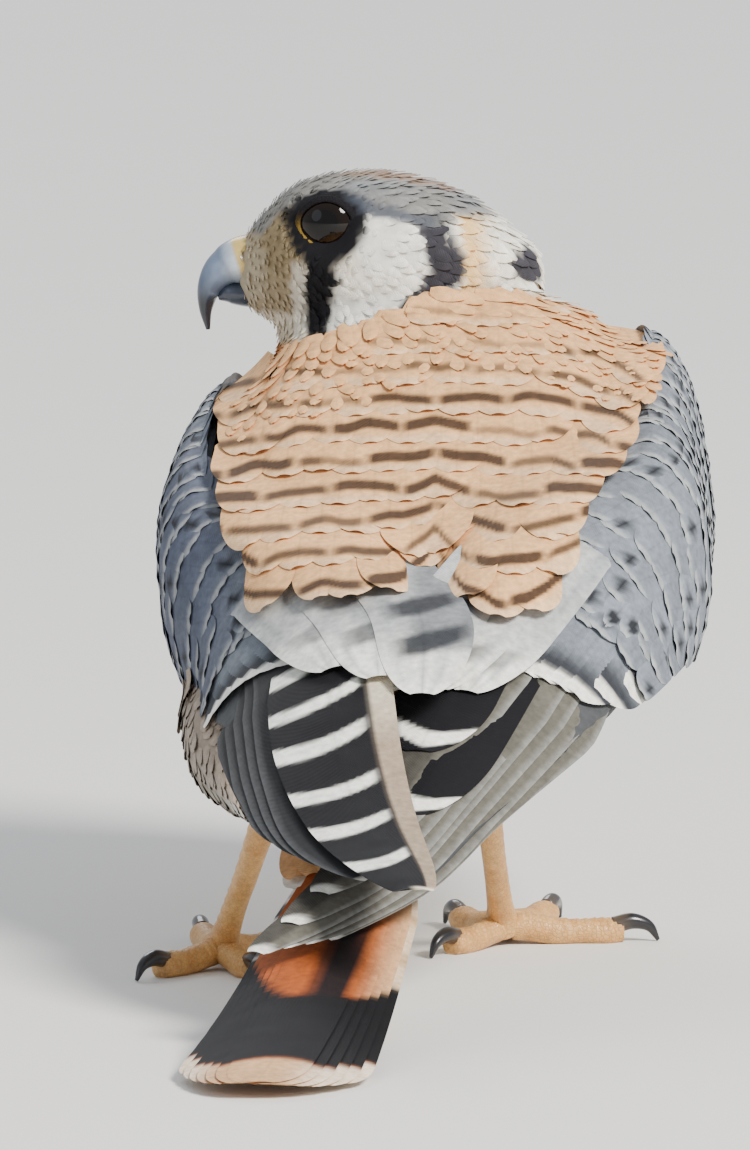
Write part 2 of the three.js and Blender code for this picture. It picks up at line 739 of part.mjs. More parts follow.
// The eyeball's place, the lids round it, the room it takes and the opening between the lids.
function eyeParts(way) {
  const { place } = headFrame();
  const centre = place(EYE.forward, EYE.aside * way, EYE.up);
  const turn = radians(EYE.turn);
  const outside = place(EYE.forward + 9 * Math.sin(turn), (EYE.aside + 9 * Math.cos(turn)) * way, EYE.up);
  return {
    centre,
    lids: solid(ball(centre, EYE.radius + CLEARANCE + EYE.lid, 18, 12)),
    room: solid(ball(centre, EYE.radius + CLEARANCE)),
    opening: solid(rod([centre, outside], [EYE.opening, EYE.opening], 18, 1)),
  };
}

// The ridge over an eye, a long bean sunk in the head.
function browSolid(way) {
  const { up, place } = headFrame();
  const { front, rear, wide, high } = HEAD.brow;
  const [start, end] = [front, rear].map(([forward, aside, level]) => place(forward, aside * way, level));
  const long = start.clone().sub(end).divideScalar(2);
  const across = long.clone().cross(up).normalize();
  const axes = [long, across.multiplyScalar(wide), up.clone().multiplyScalar(high)];
  return solid(bean(start.add(end).divideScalar(2), axes, 14, 8));
}

// Putting the bird together

const group = new THREE.Group();

function addNode(name, geometry, colour, roughness = 0.8) {
  const material = new THREE.MeshStandardMaterial({ color: colour, roughness, metalness: 0 });
  const mesh = new THREE.Mesh(geometry, material);
  mesh.name = name;
  group.add(mesh);
}

const torsoSolid = solid(torso());
const torsoRoom = solid(torso(CLEARANCE));
addNode("torso", skinOf(torsoSolid), COLOURS.rufous);

const headWhole = solid(headLoft());
const headRoom = solid(headLoft(CLEARANCE));
addNode("neck", skinOf(fuse([solid(neck())], [torsoRoom, headRoom])), COLOURS.cream);

const upperRoom = billSolid(BILL.upper, CLEARANCE);
const upperBill = fuse([billSolid(BILL.upper)], nostrils());
const lowerBill = fuse([billSolid(BILL.lower)], [upperRoom]);
const headRooms = [upperRoom, billSolid(BILL.lower, CLEARANCE), gapeCut(), torsoRoom];
for (const way of [1, -1]) {
  const eye = eyeParts(way);
  headRooms.push(eye.room, eye.opening);
  addNode(way > 0 ? "eye_left" : "eye_right", ball(eye.centre, EYE.radius), COLOURS.eye, 0.1);
}
const lidsAndBrows = [1, -1].flatMap((way) => [eyeParts(way).lids, browSolid(way)]);
addNode("head", skinOf(fuse([headWhole, ...lidsAndBrows], headRooms)), COLOURS.slate);
addNode("bill_upper", skinOf(upperBill), COLOURS.bill, 0.4);
addNode("bill_lower", skinOf(lowerBill), COLOURS.bill, 0.4);

const wingRooms = {};
for (const side of ["right", "left"]) {
  wingRooms[side] = solid(wingPlate(side, WING.room));
  addNode(`wing_${side}`, skinOf(wing(side, [torsoRoom])), COLOURS.slate);
}
addNode("tail", tail([FLOOR]), COLOURS.tail);

for (const side of ["left", "right"]) {
  const tarsus = tarsusSolid(side);
  const tarsusRoom = tarsusSolid(side, CLEARANCE);
  const thighRooms = [torsoRoom, tarsusRoom, wingRooms[side]];
  addNode(`thigh_${side}`, skinOf(fuse([thighSolid(side)], thighRooms)), COLOURS.cream);
  addNode(`tarsus_${side}`, skinOf(fuse([tarsus], [FLOOR])), COLOURS.leg, 0.5);
  const taken = [FLOOR, tarsusRoom];
  for (const toe of TOES[side]) {
    const claw = clawSolid(side, toe);
    const clawRoom = clawSolid(side, toe, CLEARANCE);
    addNode(`toe_${toe.name}_${side}`, skinOf(fuse([toeSolid(side, toe)], [...taken, clawRoom])),
      COLOURS.leg, 0.5);
    addNode(`claw_${toe.name}_${side}`, skinOf(fuse([claw], [FLOOR])), COLOURS.claw, 0.3);
    taken.push(toeSolid(side, toe, CLEARANCE));
  }
}

// The origin goes to the floor under the middle of the whole box.
const box = new THREE.Box3().setFromObject(group);
const middle = box.getCenter(vec(0, 0, 0));
for (const mesh of group.children) {
  mesh.geometry.translate(-middle.x, -middle.y, -box.min.z);
}

export default group;
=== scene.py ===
"""Looks of a life-size model of a male American kestrel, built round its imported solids.

The shapes are worked out in millimetres in the bird's own frame: X to its right, Y the way the body
faces, Z up from the floor. SHIFT then takes them to the part's frame, in metres.
"""
import math

import bpy
import numpy as np
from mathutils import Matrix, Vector
from mathutils.bvhtree import BVHTree


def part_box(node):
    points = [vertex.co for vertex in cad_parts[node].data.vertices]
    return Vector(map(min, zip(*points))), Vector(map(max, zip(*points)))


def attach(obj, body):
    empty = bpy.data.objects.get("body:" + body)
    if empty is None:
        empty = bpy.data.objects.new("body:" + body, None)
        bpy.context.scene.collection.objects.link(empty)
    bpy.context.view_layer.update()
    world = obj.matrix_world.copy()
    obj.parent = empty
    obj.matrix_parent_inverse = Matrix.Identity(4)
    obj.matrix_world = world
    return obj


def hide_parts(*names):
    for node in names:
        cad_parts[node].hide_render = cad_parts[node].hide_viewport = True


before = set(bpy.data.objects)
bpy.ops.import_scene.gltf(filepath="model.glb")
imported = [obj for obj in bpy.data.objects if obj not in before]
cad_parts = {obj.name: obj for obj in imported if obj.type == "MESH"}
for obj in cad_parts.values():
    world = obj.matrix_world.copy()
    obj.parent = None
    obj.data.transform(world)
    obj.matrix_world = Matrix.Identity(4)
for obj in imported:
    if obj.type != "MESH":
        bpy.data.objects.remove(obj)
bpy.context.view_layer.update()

# Sizes

ROLL = 7  # degrees that the bird's right side stands higher
COAT = 1.1  # depth of the small feathers over the skin
TORSO = np.array([  # y, z, half width, rise, squareness of the back, drop, x
    [-60, 26, 12.5, 4.5, 2.4, 5.5, -8],
    [-40, 36.5, 17, 6, 2.5, 9.5, -4],
    [-20, 46, 26.5, 13, 2.6, 16, -1],
    [0, 51, 32.5, 20, 2.8, 26.5, 0],
    [20, 55, 34, 27, 3, 31, 0],
    [42, 58, 32.5, 33.5, 3.2, 27, 3],
    [56, 60, 27.5, 27, 2.9, 22, 2],
    [66, 62, 18, 17, 2.6, 14, 1],
    [70, 62, 4, 6, 2.2, 5, 0],
])
BELLY_SQUARENESS = 2.1
NECK = np.array([  # z, x, y, half width, front, back
    [64, 0, 46, 25, 19, 19],
    [78, -2, 48, 22.5, 18, 16.5],
    [90, -4, 49, 20, 16, 15],
    [99, -5, 50, 15, 11, 11],
])
HEAD = np.array([  # forward, up, half width, rise, drop
    [-22.5, -2, 3, 1.6, 4],
    [-20, -2, 8.5, 4.4, 9],
    [-13, -1, 13.5, 9.6, 13],
    [-4, 0, 15.8, 12.7, 14.5],
    [5, 0, 15.8, 13.9, 14],
    [13, 0, 13.2, 12.7, 11.5],
    [19, -0.5, 8, 8.6, 8.2],
    [22.4, -1, 4, 5, 5.2],
])
HEAD_CENTRE = np.array([-7.0, 50, 96])
HEAD_DIP = 4
EYE = dict(forward=8.9, aside=7.6, up=6.3, radius=5.4)
EYE_SEEN = dict(forward=8.0, up=6.9)
BROW = dict(front=np.array([15, 6.6, 8]), rear=np.array([1.5, 11.6, 8.4]), wide=3.2, high=2)
WING_FRONT = np.array([  # y, lowest angle, inner angle, height at the edge, height in the middle
    [-20, 108, 20, 9.5, 6.5],
    [0, 113, 50, 6.4, 7],
    [20, 116, 58, 4.4, 6],
    [44, 117, 60, 3.2, 4.6],
    [58, 112, 66, 2.2, 3],
    [64, 98, 78, 1.2, 1.5],
])
WING_INNER_HEIGHT = 2.4
WING_INSIDE = 0.8
WING_LEAVING = (-46, 6)
WING_REAR = {  # y, leading edge x and z, inner edge x and z, bow, depth
    "right": np.array([
        [-108, -25, 12.8, -32, 13.8, 0.2, 0.9],
        [-85, -2, 20.8, -18, 24, 0.6, 1.3],
        [-68, 9.3, 28.6, -10, 32.5, 1.2, 1.6],
        [-45, 24, 37, -2, 47, 3, 2.6],
        [-20, 34, 42.5, 6, 61.5, 5, 7],
    ]),
    "left": np.array([
        [-112, -7.5, 23, -1.5, 23.5, 0.3, 0.9],
        [-88, -23.5, 26.6, -3, 29.5, 1, 1.3],
        [-68, -29.5, 32.5, -5, 38, 1.5, 1.8],
        [-45, -33.5, 36.5, -4, 50.5, 3, 2.2],
        [-20, -36, 38.5, -5, 60.5, 5, 7],
    ]),
}
TAIL = dict(root=(-10, -60, 25.5), tip=(-26.6, -151, 1.6), sag=4.1, root_half=9.5, tip_half=14.4,
            crown=2.2, rounding=13.4, longest=0.1, count=12)
THIGH_RADII = [6, 12.5, 10.5, 4.6]
LEGS = {
    "right": dict(thigh=[[9, 24, 44], [13, 10, 41], [10, -9, 33.5], [7, -27, 27.5]], foot=[9.6, 1, 3.4]),
    "left": dict(thigh=[[-17, 17, 43], [-25, 2, 37], [-28, -19, 32], [-24.5, -47, 27]],
                 foot=[-31.5, -22, 3.4]),
}
TARSUS_RADIUS = 1.75
TOE_RADIUS = 1.9
FLOOR_FLAT = 0.35
TOES = {  # heading in degrees and length
    "right": dict(hallux=(215, 13), inner=(-22, 17), middle=(18, 23), outer=(82, 18)),
    "left": dict(hallux=(160, 13), inner=(30, 17), middle=(-8, 23), outer=(-140, 14)),
}
TOE_LINE = ((0.1, 1.2), (0.3, 0.6), (0.6, 0.1), (0.85, 0), (1, 0))  # share of its length, rise
TOE_SHAPE = (1.05, 1.1, 1, 1.12, 0.85)
CLAW_LINE = ((-1.4, 0.9), (1.4, 1.5), (3.9, 0.7))  # ahead of the toe's end, rise over the toe
CLAW_TIP = (5.3, 0.2)  # ahead of the toe's end, height over the floor
CLAW_RADII = [1.3, 1.2, 0.8, 0.28]
BILL_UPPER = ((18, 1.2), (22, 1), (25, -0.3), (26.9, -2.7), (27.7, -5.7), (27.6, -8.9))  # forward, up
BILL_LOWER = ((17, -4), (21, -3.9), (24, -3.6), (25.8, -4))
BARB_GAP = 0.42
BARB_SLANT = 0.9
SMALL_FEATHER_PATCH = 0.003  # share of the map's side that one small feather takes
SEED = 11
rng = np.random.default_rng(SEED)

# Curves and frames


def unit(v):
    return v / np.maximum(np.linalg.norm(v, axis=-1, keepdims=True), 1e-9)


def mix(a, b, share):
    return a + (b - a) * share


def smooth(value, low, high):
    t = np.clip((value - low) / (high - low), 0, 1)
    return t * t * (3 - 2 * t)


def spline(rows, place):
    """The rows' later columns at a place along their first one, smoothly."""
    keys, values = rows[:, 0], rows[:, 1:]
    count = len(keys)
    below = np.maximum(np.arange(count) - 1, 0)
    above = np.minimum(np.arange(count) + 1, count - 1)
    slope = (values[above] - values[below]) / (keys[above] - keys[below])[:, None]
    at = np.clip(place, keys[0], keys[-1])
    i = np.clip(np.searchsorted(keys, at, side="right") - 1, 0, count - 2)
    span = (keys[i + 1] - keys[i])[..., None]
    t = (at[..., None] - keys[i][..., None]) / span
    return (values[i] * (2 * t**3 - 3 * t**2 + 1) + slope[i] * span * (t**3 - 2 * t**2 + t)
            + values[i + 1] * (3 * t**2 - 2 * t**3) + slope[i + 1] * span * (t**3 - t**2))


def signed_power(value, power):
    return np.sign(value) * np.abs(value) ** power


def vec3(x, y, z):
    return np.stack(np.broadcast_arrays(x, y, z), -1).astype(float)


roll = math.radians(ROLL)
TORSO_ACROSS = np.array([math.cos(roll), 0, math.sin(roll)])
TORSO_UP = np.array([-math.sin(roll), 0, math.cos(roll)])
dip = math.radians(HEAD_DIP)
FORWARD = np.array([-math.cos(dip), 0, -math.sin(dip)])
UP = np.array([-math.sin(dip), 0, math.cos(dip)])
LEFT = np.cross(UP, FORWARD)


def torso_point(y, degrees, height):
    """Points over the torso's skin, by the place along Y and the angle from straight up."""
    y, degrees, height = np.broadcast_arrays(y, degrees, height)
    z, half, rise, top, drop, x = np.moveaxis(spline(TORSO, y), -1, 0)
    side, level = np.sin(np.radians(degrees)), np.cos(np.radians(degrees))
    power = 2 / np.where(level > 0, top, BELLY_SQUARENESS)
    reach = np.where(level > 0, rise, drop) + height
    return (vec3(x, y, z) + TORSO_ACROSS * ((half + height) * signed_power(side, power))[..., None]
            + TORSO_UP * (reach * signed_power(level, power))[..., None])


def head_place(forward, aside, up):
    """The place that lies so far forward, left and up of the head's centre."""
    forward, aside, up = np.broadcast_arrays(forward, aside, up)
    return HEAD_CENTRE + FORWARD * forward[..., None] + LEFT * aside[..., None] + UP * up[..., None]


def head_coordinates(points):
    """How far forward, left and up of the head's centre points lie."""
    off = points - HEAD_CENTRE
    return off @ FORWARD, off @ LEFT, off @ UP


def wing_surface(side, inside=False):
    """The folded wing's outside or inside, by the share across it and the place along Y."""
    sign = 1 if side == "right" else -1

    def over_body(p, y):
        lead, inner, low, middle = np.moveaxis(spline(WING_FRONT, y), -1, 0)
        edge = mix(low, np.minimum(middle, WING_INNER_HEIGHT), p)
        height = mix(edge, middle, np.sqrt(np.maximum(0, 4 * p * (1 - p))))
        return torso_point(y, sign * mix(lead, inner, p), WING_INSIDE if inside else height)

    def behind(p, y):
        lead_x, lead_z, inner_x, inner_z, bow, depth = np.moveaxis(spline(WING_REAR[side], y), -1, 0)
        lead = vec3(lead_x, y, lead_z)
        chord = vec3(inner_x, y, inner_z) - lead
        out = unit(vec3(chord[..., 2], 0, -chord[..., 0])) * sign
        edge = np.minimum(1, np.abs(2 * p - 1)) * 0.9
        deep = depth * np.sqrt(1 - edge**4) if inside else 0
        return lead + chord * p[..., None] + out * (bow * 4 * p * (1 - p) - deep)[..., None]

    def surface(p, y):
        p, y = np.broadcast_arrays(np.asarray(p, float), np.asarray(y, float))
        share = 1 - smooth(y, *WING_LEAVING)
        return mix(over_body(p, y), behind(p, y), share[..., None])

    return surface


def tail_surface(p, y):
    """The tail's upper side, by the share across from its middle and the place along Y."""
    p, y = np.broadcast_arrays(np.asarray(p, float), np.asarray(y, float))
    root, tip = np.array(TAIL["root"], float), np.array(TAIL["tip"], float)
    t = (root[1] - y) / (root[1] - tip[1])
    point = root + (tip - root) * t[..., None]
    point[..., 2] -= TAIL["sag"] * 4 * t * (1 - t) + TAIL["crown"] * (1 - 0.6 * t) * p * p
    point[..., 0] += p * mix(TAIL["root_half"], TAIL["tip_half"], t)
    return point


def on_surface(surface, p, y, turn):
    """Points of a surface, the ways across and out of it, and its length for each unit of p."""
    small = 0.01
    step = (surface(p + small, y) - surface(p - small, y)) / (2 * small)
    along = unit(surface(p, y + 1) - surface(p, y - 1))
    across = unit(step)
    return surface(p, y), across, unit(np.cross(along, across)) * turn, np.linalg.norm(step, axis=-1)


# The part's own frame: the left eye's place gives the shift to it.
low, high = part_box("eye_left")
SHIFT = np.array((low + high) / 2) * 1000 - head_place(*np.array([EYE["forward"], EYE["aside"], EYE["up"]]))

# Random but repeatable variation


def lattice(cells, seed):
    """A number from 0 to 1 for each whole-numbered place."""
    a, b, c = (cells[..., k].astype(np.int64) for k in range(3))
    h = (a * 73856093) ^ (b * 19349663) ^ (c * 83492791) ^ (seed * 2654435761)
    h = (h ^ (h >> 13)) * 1274126177
    return ((h ^ (h >> 16)) & 0xFFFF) / 0xFFFF


def cloud(points, size, seed=0):
    """Smooth noise from -1 to 1 whose blotches are about that size across."""
    at = points / size
    cell = np.floor(at)
    f = at - cell
    f = f * f * (3 - 2 * f)
    total = 0
    for dx in (0, 1):
        for dy in (0, 1):
            for dz in (0, 1):
                weight = (abs(1 - dx - f[..., 0]) * abs(1 - dy - f[..., 1]) * abs(1 - dz - f[..., 2]))
                total = total + weight * lattice(cell + np.array([dx, dy, dz]), seed)
    return total * 2 - 1


# Colours


def shade(text):
    """A colour from its usual six-letter form, as light values."""
    parts = np.array([int(text[i:i + 2], 16) for i in (0, 2, 4)]) / 255
    return np.where(parts <= 0.04045, parts / 12.92, ((parts + 0.055) / 1.055) ** 2.4)


RUFOUS = shade("edb880")
RUFOUS_DEEP = shade("c08552")
BLACK = shade("0b0a10")
SLATE = shade("7c838d")
CROWN = shade("8b8e92")
BUFF = shade("e2bd90")
WHITE = shade("f9f9f1")
CREAM = shade("ebe1cb")
OLIVE = shade("846d3c")
GREY = shade("8b8f92")
DUSK = shade("3a3940")
TAIL_RED = shade("a9541f")


def paint(base, colour, share):
    return base + (colour - base) * np.asarray(share)[..., None]


# Meshes


def to_part(points):
    return (np.asarray(points) + SHIFT) / 1000


def make_object(name, points, faces, colours=None, attributes=None, uv=None, sharp=None):
    """A mesh object from corner points in millimetres, faces of three or four corners and values."""
    mesh = bpy.data.meshes.new(name)
    points = to_part(points).astype(np.float32)
    if isinstance(faces, np.ndarray):
        loops = faces.reshape(-1)
        totals = np.full(len(faces), faces.shape[1])
    else:
        loops = np.array([i for f in faces for i in f])
        totals = np.array([len(f) for f in faces])
    mesh.vertices.add(len(points))
    mesh.vertices.foreach_set("co", points.reshape(-1))
    mesh.loops.add(len(loops))
    mesh.loops.foreach_set("vertex_index", loops.astype(np.int32))
    mesh.polygons.add(len(totals))
    mesh.polygons.foreach_set("loop_start", np.r_[0, np.cumsum(totals)[:-1]].astype(np.int32))
    mesh.update(calc_edges=True)
    mesh.validate()
    mesh.polygons.foreach_set("use_smooth", np.ones(len(mesh.polygons), bool))
    if colours is not None:
        full = np.concatenate([colours, np.ones((len(colours), 1))], 1).astype(np.float32)
        mesh.attributes.new("Col", "FLOAT_COLOR", "POINT").data.foreach_set("color", full.reshape(-1))
    for key, values in (attributes or {}).items():
        data = mesh.attributes.new(key, "FLOAT", "POINT").data
        data.foreach_set("value", np.asarray(values, np.float32))
    if uv is not None:
        layer = mesh.uv_layers.new(name="OFBake")
        corners = np.zeros(len(mesh.loops), np.int32)
        mesh.loops.foreach_get("vertex_index", corners)
        layer.data.foreach_set("uv", uv[corners].astype(np.float32).reshape(-1))
    if sharp is not None:
        edges = np.zeros(len(mesh.edges) * 2, np.int32)
        mesh.edges.foreach_get("vertices", edges)
        edges = edges.reshape(-1, 2)
        rim = sharp[edges[:, 0]] & sharp[edges[:, 1]]
        mesh.attributes.new("sharp_edge", "BOOLEAN", "EDGE").data.foreach_set("value", rim)
    obj = bpy.data.objects.new(name, mesh)
    bpy.context.scene.collection.objects.link(obj)
    return obj


def add_piece(name, points, faces, colours, material, slot, *nodes, **values):
    """A piece with its look, and the solids that it stands for hidden; its slot is not used."""
    obj = make_object(name, points, faces, colours, **values)
    obj.data.materials.append(material)
    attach(obj, "root")
    if nodes:
        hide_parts(*nodes)


def loft(rings):
    """A closed skin over rings of equally many points, as points and faces."""
    rings = np.asarray(rings)
    count, around = rings.shape[:2]
    a = np.arange(count - 1)[:, None] * around + np.arange(around)
    b = np.arange(count - 1)[:, None] * around + (np.arange(around) + 1) % around
    faces = np.stack([a, b, b + around, a + around], -1).reshape(-1, 4)
    start, end = rings[0].mean(0), rings[-1].mean(0)
    points = np.concatenate([rings.reshape(-1, 3), [start, end]])
    first, last = count * around, count * around + 1
    k = np.arange(around)
    nxt = (k + 1) % around
    base = (count - 1) * around
    caps = [[first, n, i] for i, n in zip(k, nxt)] + [[last, base + i, base + n] for i, n in zip(k, nxt)]
    faces = faces.tolist() + caps
    volume = 0
    for f in faces[::7]:
        p = points[f[:3]]
        volume += np.dot(p[0] - points.mean(0), np.cross(p[1] - points.mean(0), p[2] - points.mean(0)))
    if volume < 0:
        faces = [f[::-1] for f in faces]
    return points, faces


def spread(first, last, count):
    """Places from first to last, closer together at both ends."""
    part = (1 - np.cos(np.pi * np.arange(count + 1) / count)) / 2
    return mix(first, last, mix(np.arange(count + 1) / count, part, 0.6))


def section(centre, across, up, half, rise, drop, top, bottom, around):
    """A rounded ring of points with its own half width, rise and drop."""
    angle = np.arange(around) / around * 2 * np.pi
    side, level = np.sin(angle), np.cos(angle)
    power = 2 / np.where(level > 0, top, bottom)
    reach = np.where(level > 0, rise, drop)
    return (centre + across * (half * signed_power(side, power))[:, None]
            + up * (reach * signed_power(level, power))[:, None])


def catmull(points, t):
    """Points on a smooth line through the given ones, for parameters from 0 to 1."""
    points = np.asarray(points, float)
    last = len(points) - 1
    at = np.clip(t, 0, 1) * last
    i = np.minimum(np.floor(at).astype(int), last - 1)
    w = (at - i)[:, None]
    padded = np.concatenate([[2 * points[0] - points[1]], points, [2 * points[-1] - points[-2]]])
    x0, x1, x2, x3 = padded[i], padded[i + 1], padded[i + 2], padded[i + 3]
    d0, d1, d2 = (np.maximum(np.linalg.norm(b - a, axis=1, keepdims=True) ** 0.5, 1e-4)
                  for a, b in ((x0, x1), (x1, x2), (x2, x3)))
    m1 = ((x1 - x0) / d0 - (x2 - x0) / (d0 + d1) + (x2 - x1) / d1) * d1
    m2 = ((x2 - x1) / d1 - (x3 - x1) / (d1 + d2) + (x3 - x2) / d2) * d1
    return ((2 * w**3 - 3 * w**2 + 1) * x1 + (w**3 - 2 * w**2 + w) * m1
            + (3 * w**2 - 2 * w**3) * x2 + (w**3 - w**2) * m2)


def rod(points, radii, around, steps, wide=1.0, relief=None):
    """A rod along a line. The relief changes the radius by the part of its length and the angle."""
    t = np.arange(steps + 1) / steps
    line = catmull(points, t)
    size = catmull(np.array([[i, r, 0] for i, r in enumerate(radii)]), t)[:, 1]
    tangent = unit(catmull(points, t + 1e-3) - catmull(points, t - 1e-3))
    guide = np.array([0, 1.0, 0]) if abs(tangent[0][2]) > 0.9 else np.array([0, 0, 1.0])
    across = unit(np.cross(tangent[0], guide))
    angle = np.arange(around) / around * 2 * np.pi
    rings = []
    for i in range(steps + 1):
        across = unit(across - tangent[i] * np.dot(across, tangent[i]))
        up = np.cross(across, tangent[i])
        grow = 1 if relief is None else relief(t[i], angle)
        rings.append(line[i] + across * (size[i] * wide * np.sin(angle) * grow)[:, None]
                     + up * (size[i] * np.cos(angle) * grow)[:, None])
    return rings


def torso_rings(grow):
    angles = np.arange(72) * 5.0
    return [torso_point(y, angles, grow) for y in spread(TORSO[0, 0], TORSO[-1, 0], 60)]


def neck_rings(grow):
    rings = []
    for z in np.linspace(NECK[0, 0], NECK[-1, 0], 16):
        x, y, half, front, back = spline(NECK, np.array(z))
        rings.append(section(np.array([x, y, z]), np.array([1.0, 0, 0]), np.array([0, 1.0, 0]),
                             half + grow, front + grow, back + grow, 2, 2, 60))
    return rings


def head_rings(grow):
    rings = []
    for s in spread(HEAD[0, 0], HEAD[-1, 0], 36):
        up, half, rise, drop = spline(HEAD, np.array(s))
        rings.append(section(head_place(s, 0, up), LEFT, UP, half + grow, rise + grow, drop + grow,
                             2.5, 2.1, 64))
    return rings


# Skin


def joined(lofts):
    """One set of points and faces from several lofts."""
    points, faces, count = [], [], 0
    for p, f in lofts:
        points.append(p)
        faces += [[i + count for i in face] for face in f]
        count += len(p)
    return np.concatenate(points), faces


def fused(name, lofts, cell, rounds):
    """One closed skin round several lofts, in cells of that size, smoothed in rounds."""
    obj = make_object(name + "_raw", *joined(lofts))
    remesh = obj.modifiers.new("fuse", "REMESH")
    remesh.mode = "VOXEL"
    remesh.voxel_size = cell / 1000
    relax = obj.modifiers.new("relax", "SMOOTH")
    relax.factor = 0.5
    relax.iterations = rounds
    mesh = bpy.data.meshes.new_from_object(obj.evaluated_get(bpy.context.evaluated_depsgraph_get()))
    points = np.zeros(len(mesh.vertices) * 3, np.float32)
    mesh.vertices.foreach_get("co", points)
    faces = [list(p.vertices) for p in mesh.polygons]
    bpy.data.objects.remove(obj)
    return points.reshape(-1, 3) * 1000 - SHIFT, faces


def is_clear(grid, key, spot, gap, reach):
    """Whether no point kept in the cells within reach stands closer to the spot than the gap."""
    steps = range(-reach, reach + 1)
    cells = ((key[0] + i, key[1] + j, key[2] + k) for i in steps for j in steps for k in steps)
    return all(math.dist(other, spot) >= gap for cell in cells for other in grid.get(cell, ()))


class Bed:
    """A skin that feathers are laid on."""

    def __init__(self, points, faces):
        self.points = np.asarray(points, float)
        tris = []
        for f in faces:
            tris.append(f[:3])
            if len(f) == 4:
                tris.append([f[0], f[2], f[3]])
        self.tris = np.array(tris)
        corners = self.points[self.tris]
        normal = np.cross(corners[:, 1] - corners[:, 0], corners[:, 2] - corners[:, 0])
        self.area = np.linalg.norm(normal, axis=1) / 2
        self.normals = np.zeros_like(self.points)
        for k in range(3):
            np.add.at(self.normals, self.tris[:, k], normal)
        self.normals = unit(self.normals)
        self.tree = BVHTree.FromPolygons(self.points.tolist(), self.tris.tolist(), all_triangles=True)

    def blend(self, index, places):
        """Smooth normals at places in the triangles with those numbers."""
        a, b, c = (self.points[self.tris[index, k]] for k in range(3))
        v0, v1, v2 = b - a, c - a, places - a
        d00, d01, d11 = (v0 * v0).sum(1), (v0 * v1).sum(1), (v1 * v1).sum(1)
        d20, d21 = (v2 * v0).sum(1), (v2 * v1).sum(1)
        scale = np.maximum(d00 * d11 - d01 * d01, 1e-12)
        v = (d11 * d20 - d01 * d21) / scale
        w = (d00 * d21 - d01 * d20) / scale
        parts = np.stack([1 - v - w, v, w], 1)
        return unit(sum(parts[:, k:k + 1] * self.normals[self.tris[index, k]] for k in range(3)))

    def nearest(self, places):
        """The nearest points of the skin and its normals there."""
        find = self.tree.find_nearest
        flat = places.reshape(-1, 3)
        index = np.zeros(len(flat), int)
        spots = np.zeros_like(flat)
        for i, place in enumerate(flat.tolist()):
            spot, _, face, _ = find(place)
            spots[i] = spot
            index[i] = face
        normals = self.blend(index, spots)
        return spots.reshape(places.shape), normals.reshape(places.shape)

    def scatter(self, spacing, seed):
        """Points spread over the skin, no closer than the spacing that holds at each."""
        draw = np.random.default_rng(seed)
        centres = self.points[self.tris].mean(1)
        gap = spacing(centres)
        weight = np.where(gap > 0, self.area / np.maximum(gap, 0.1) ** 2, 0)
        count = int(weight.sum() * 3.2)
        index = draw.choice(len(weight), count, p=weight / weight.sum())
        r1, r2 = draw.random(count), draw.random(count)
        turn = r1 + r2 > 1
        r1[turn], r2[turn] = 1 - r1[turn], 1 - r2[turn]
        a, b, c = (self.points[self.tris[index, k]] for k in range(3))
        spots = a + (b - a) * r1[:, None] + (c - a) * r2[:, None]
        near = gap[index]
        cell = 2.0
        grid, kept = {}, []
        for i, (spot, g) in enumerate(zip(spots.tolist(), near.tolist())):
            key = tuple(int(v // cell) for v in spot)
            if is_clear(grid, key, spot, g, int(g // cell) + 1):
                grid.setdefault(key, []).append(spot)
                kept.append(i)
        return spots[kept], self.blend(index[kept], spots[kept])


# Vanes


def vane_faces(rows, columns):
    """Faces of one closed vane: a grid on top and one below that share their rim."""
    top = np.arange(rows * columns).reshape(rows, columns)
    below = top.copy()
    inner = (rows - 2, columns - 2)
    below[1:-1, 1:-1] = rows * columns + np.arange(inner[0] * inner[1]).reshape(inner)
    upper = np.stack([top[:-1, :-1], top[:-1, 1:], top[1:, 1:], top[1:, :-1]], -1)
    lower = np.stack([below[:-1, :-1], below[1:, :-1], below[1:, 1:], below[:-1, 1:]], -1)
    return np.concatenate([upper.reshape(-1, 4), lower.reshape(-1, 4)])


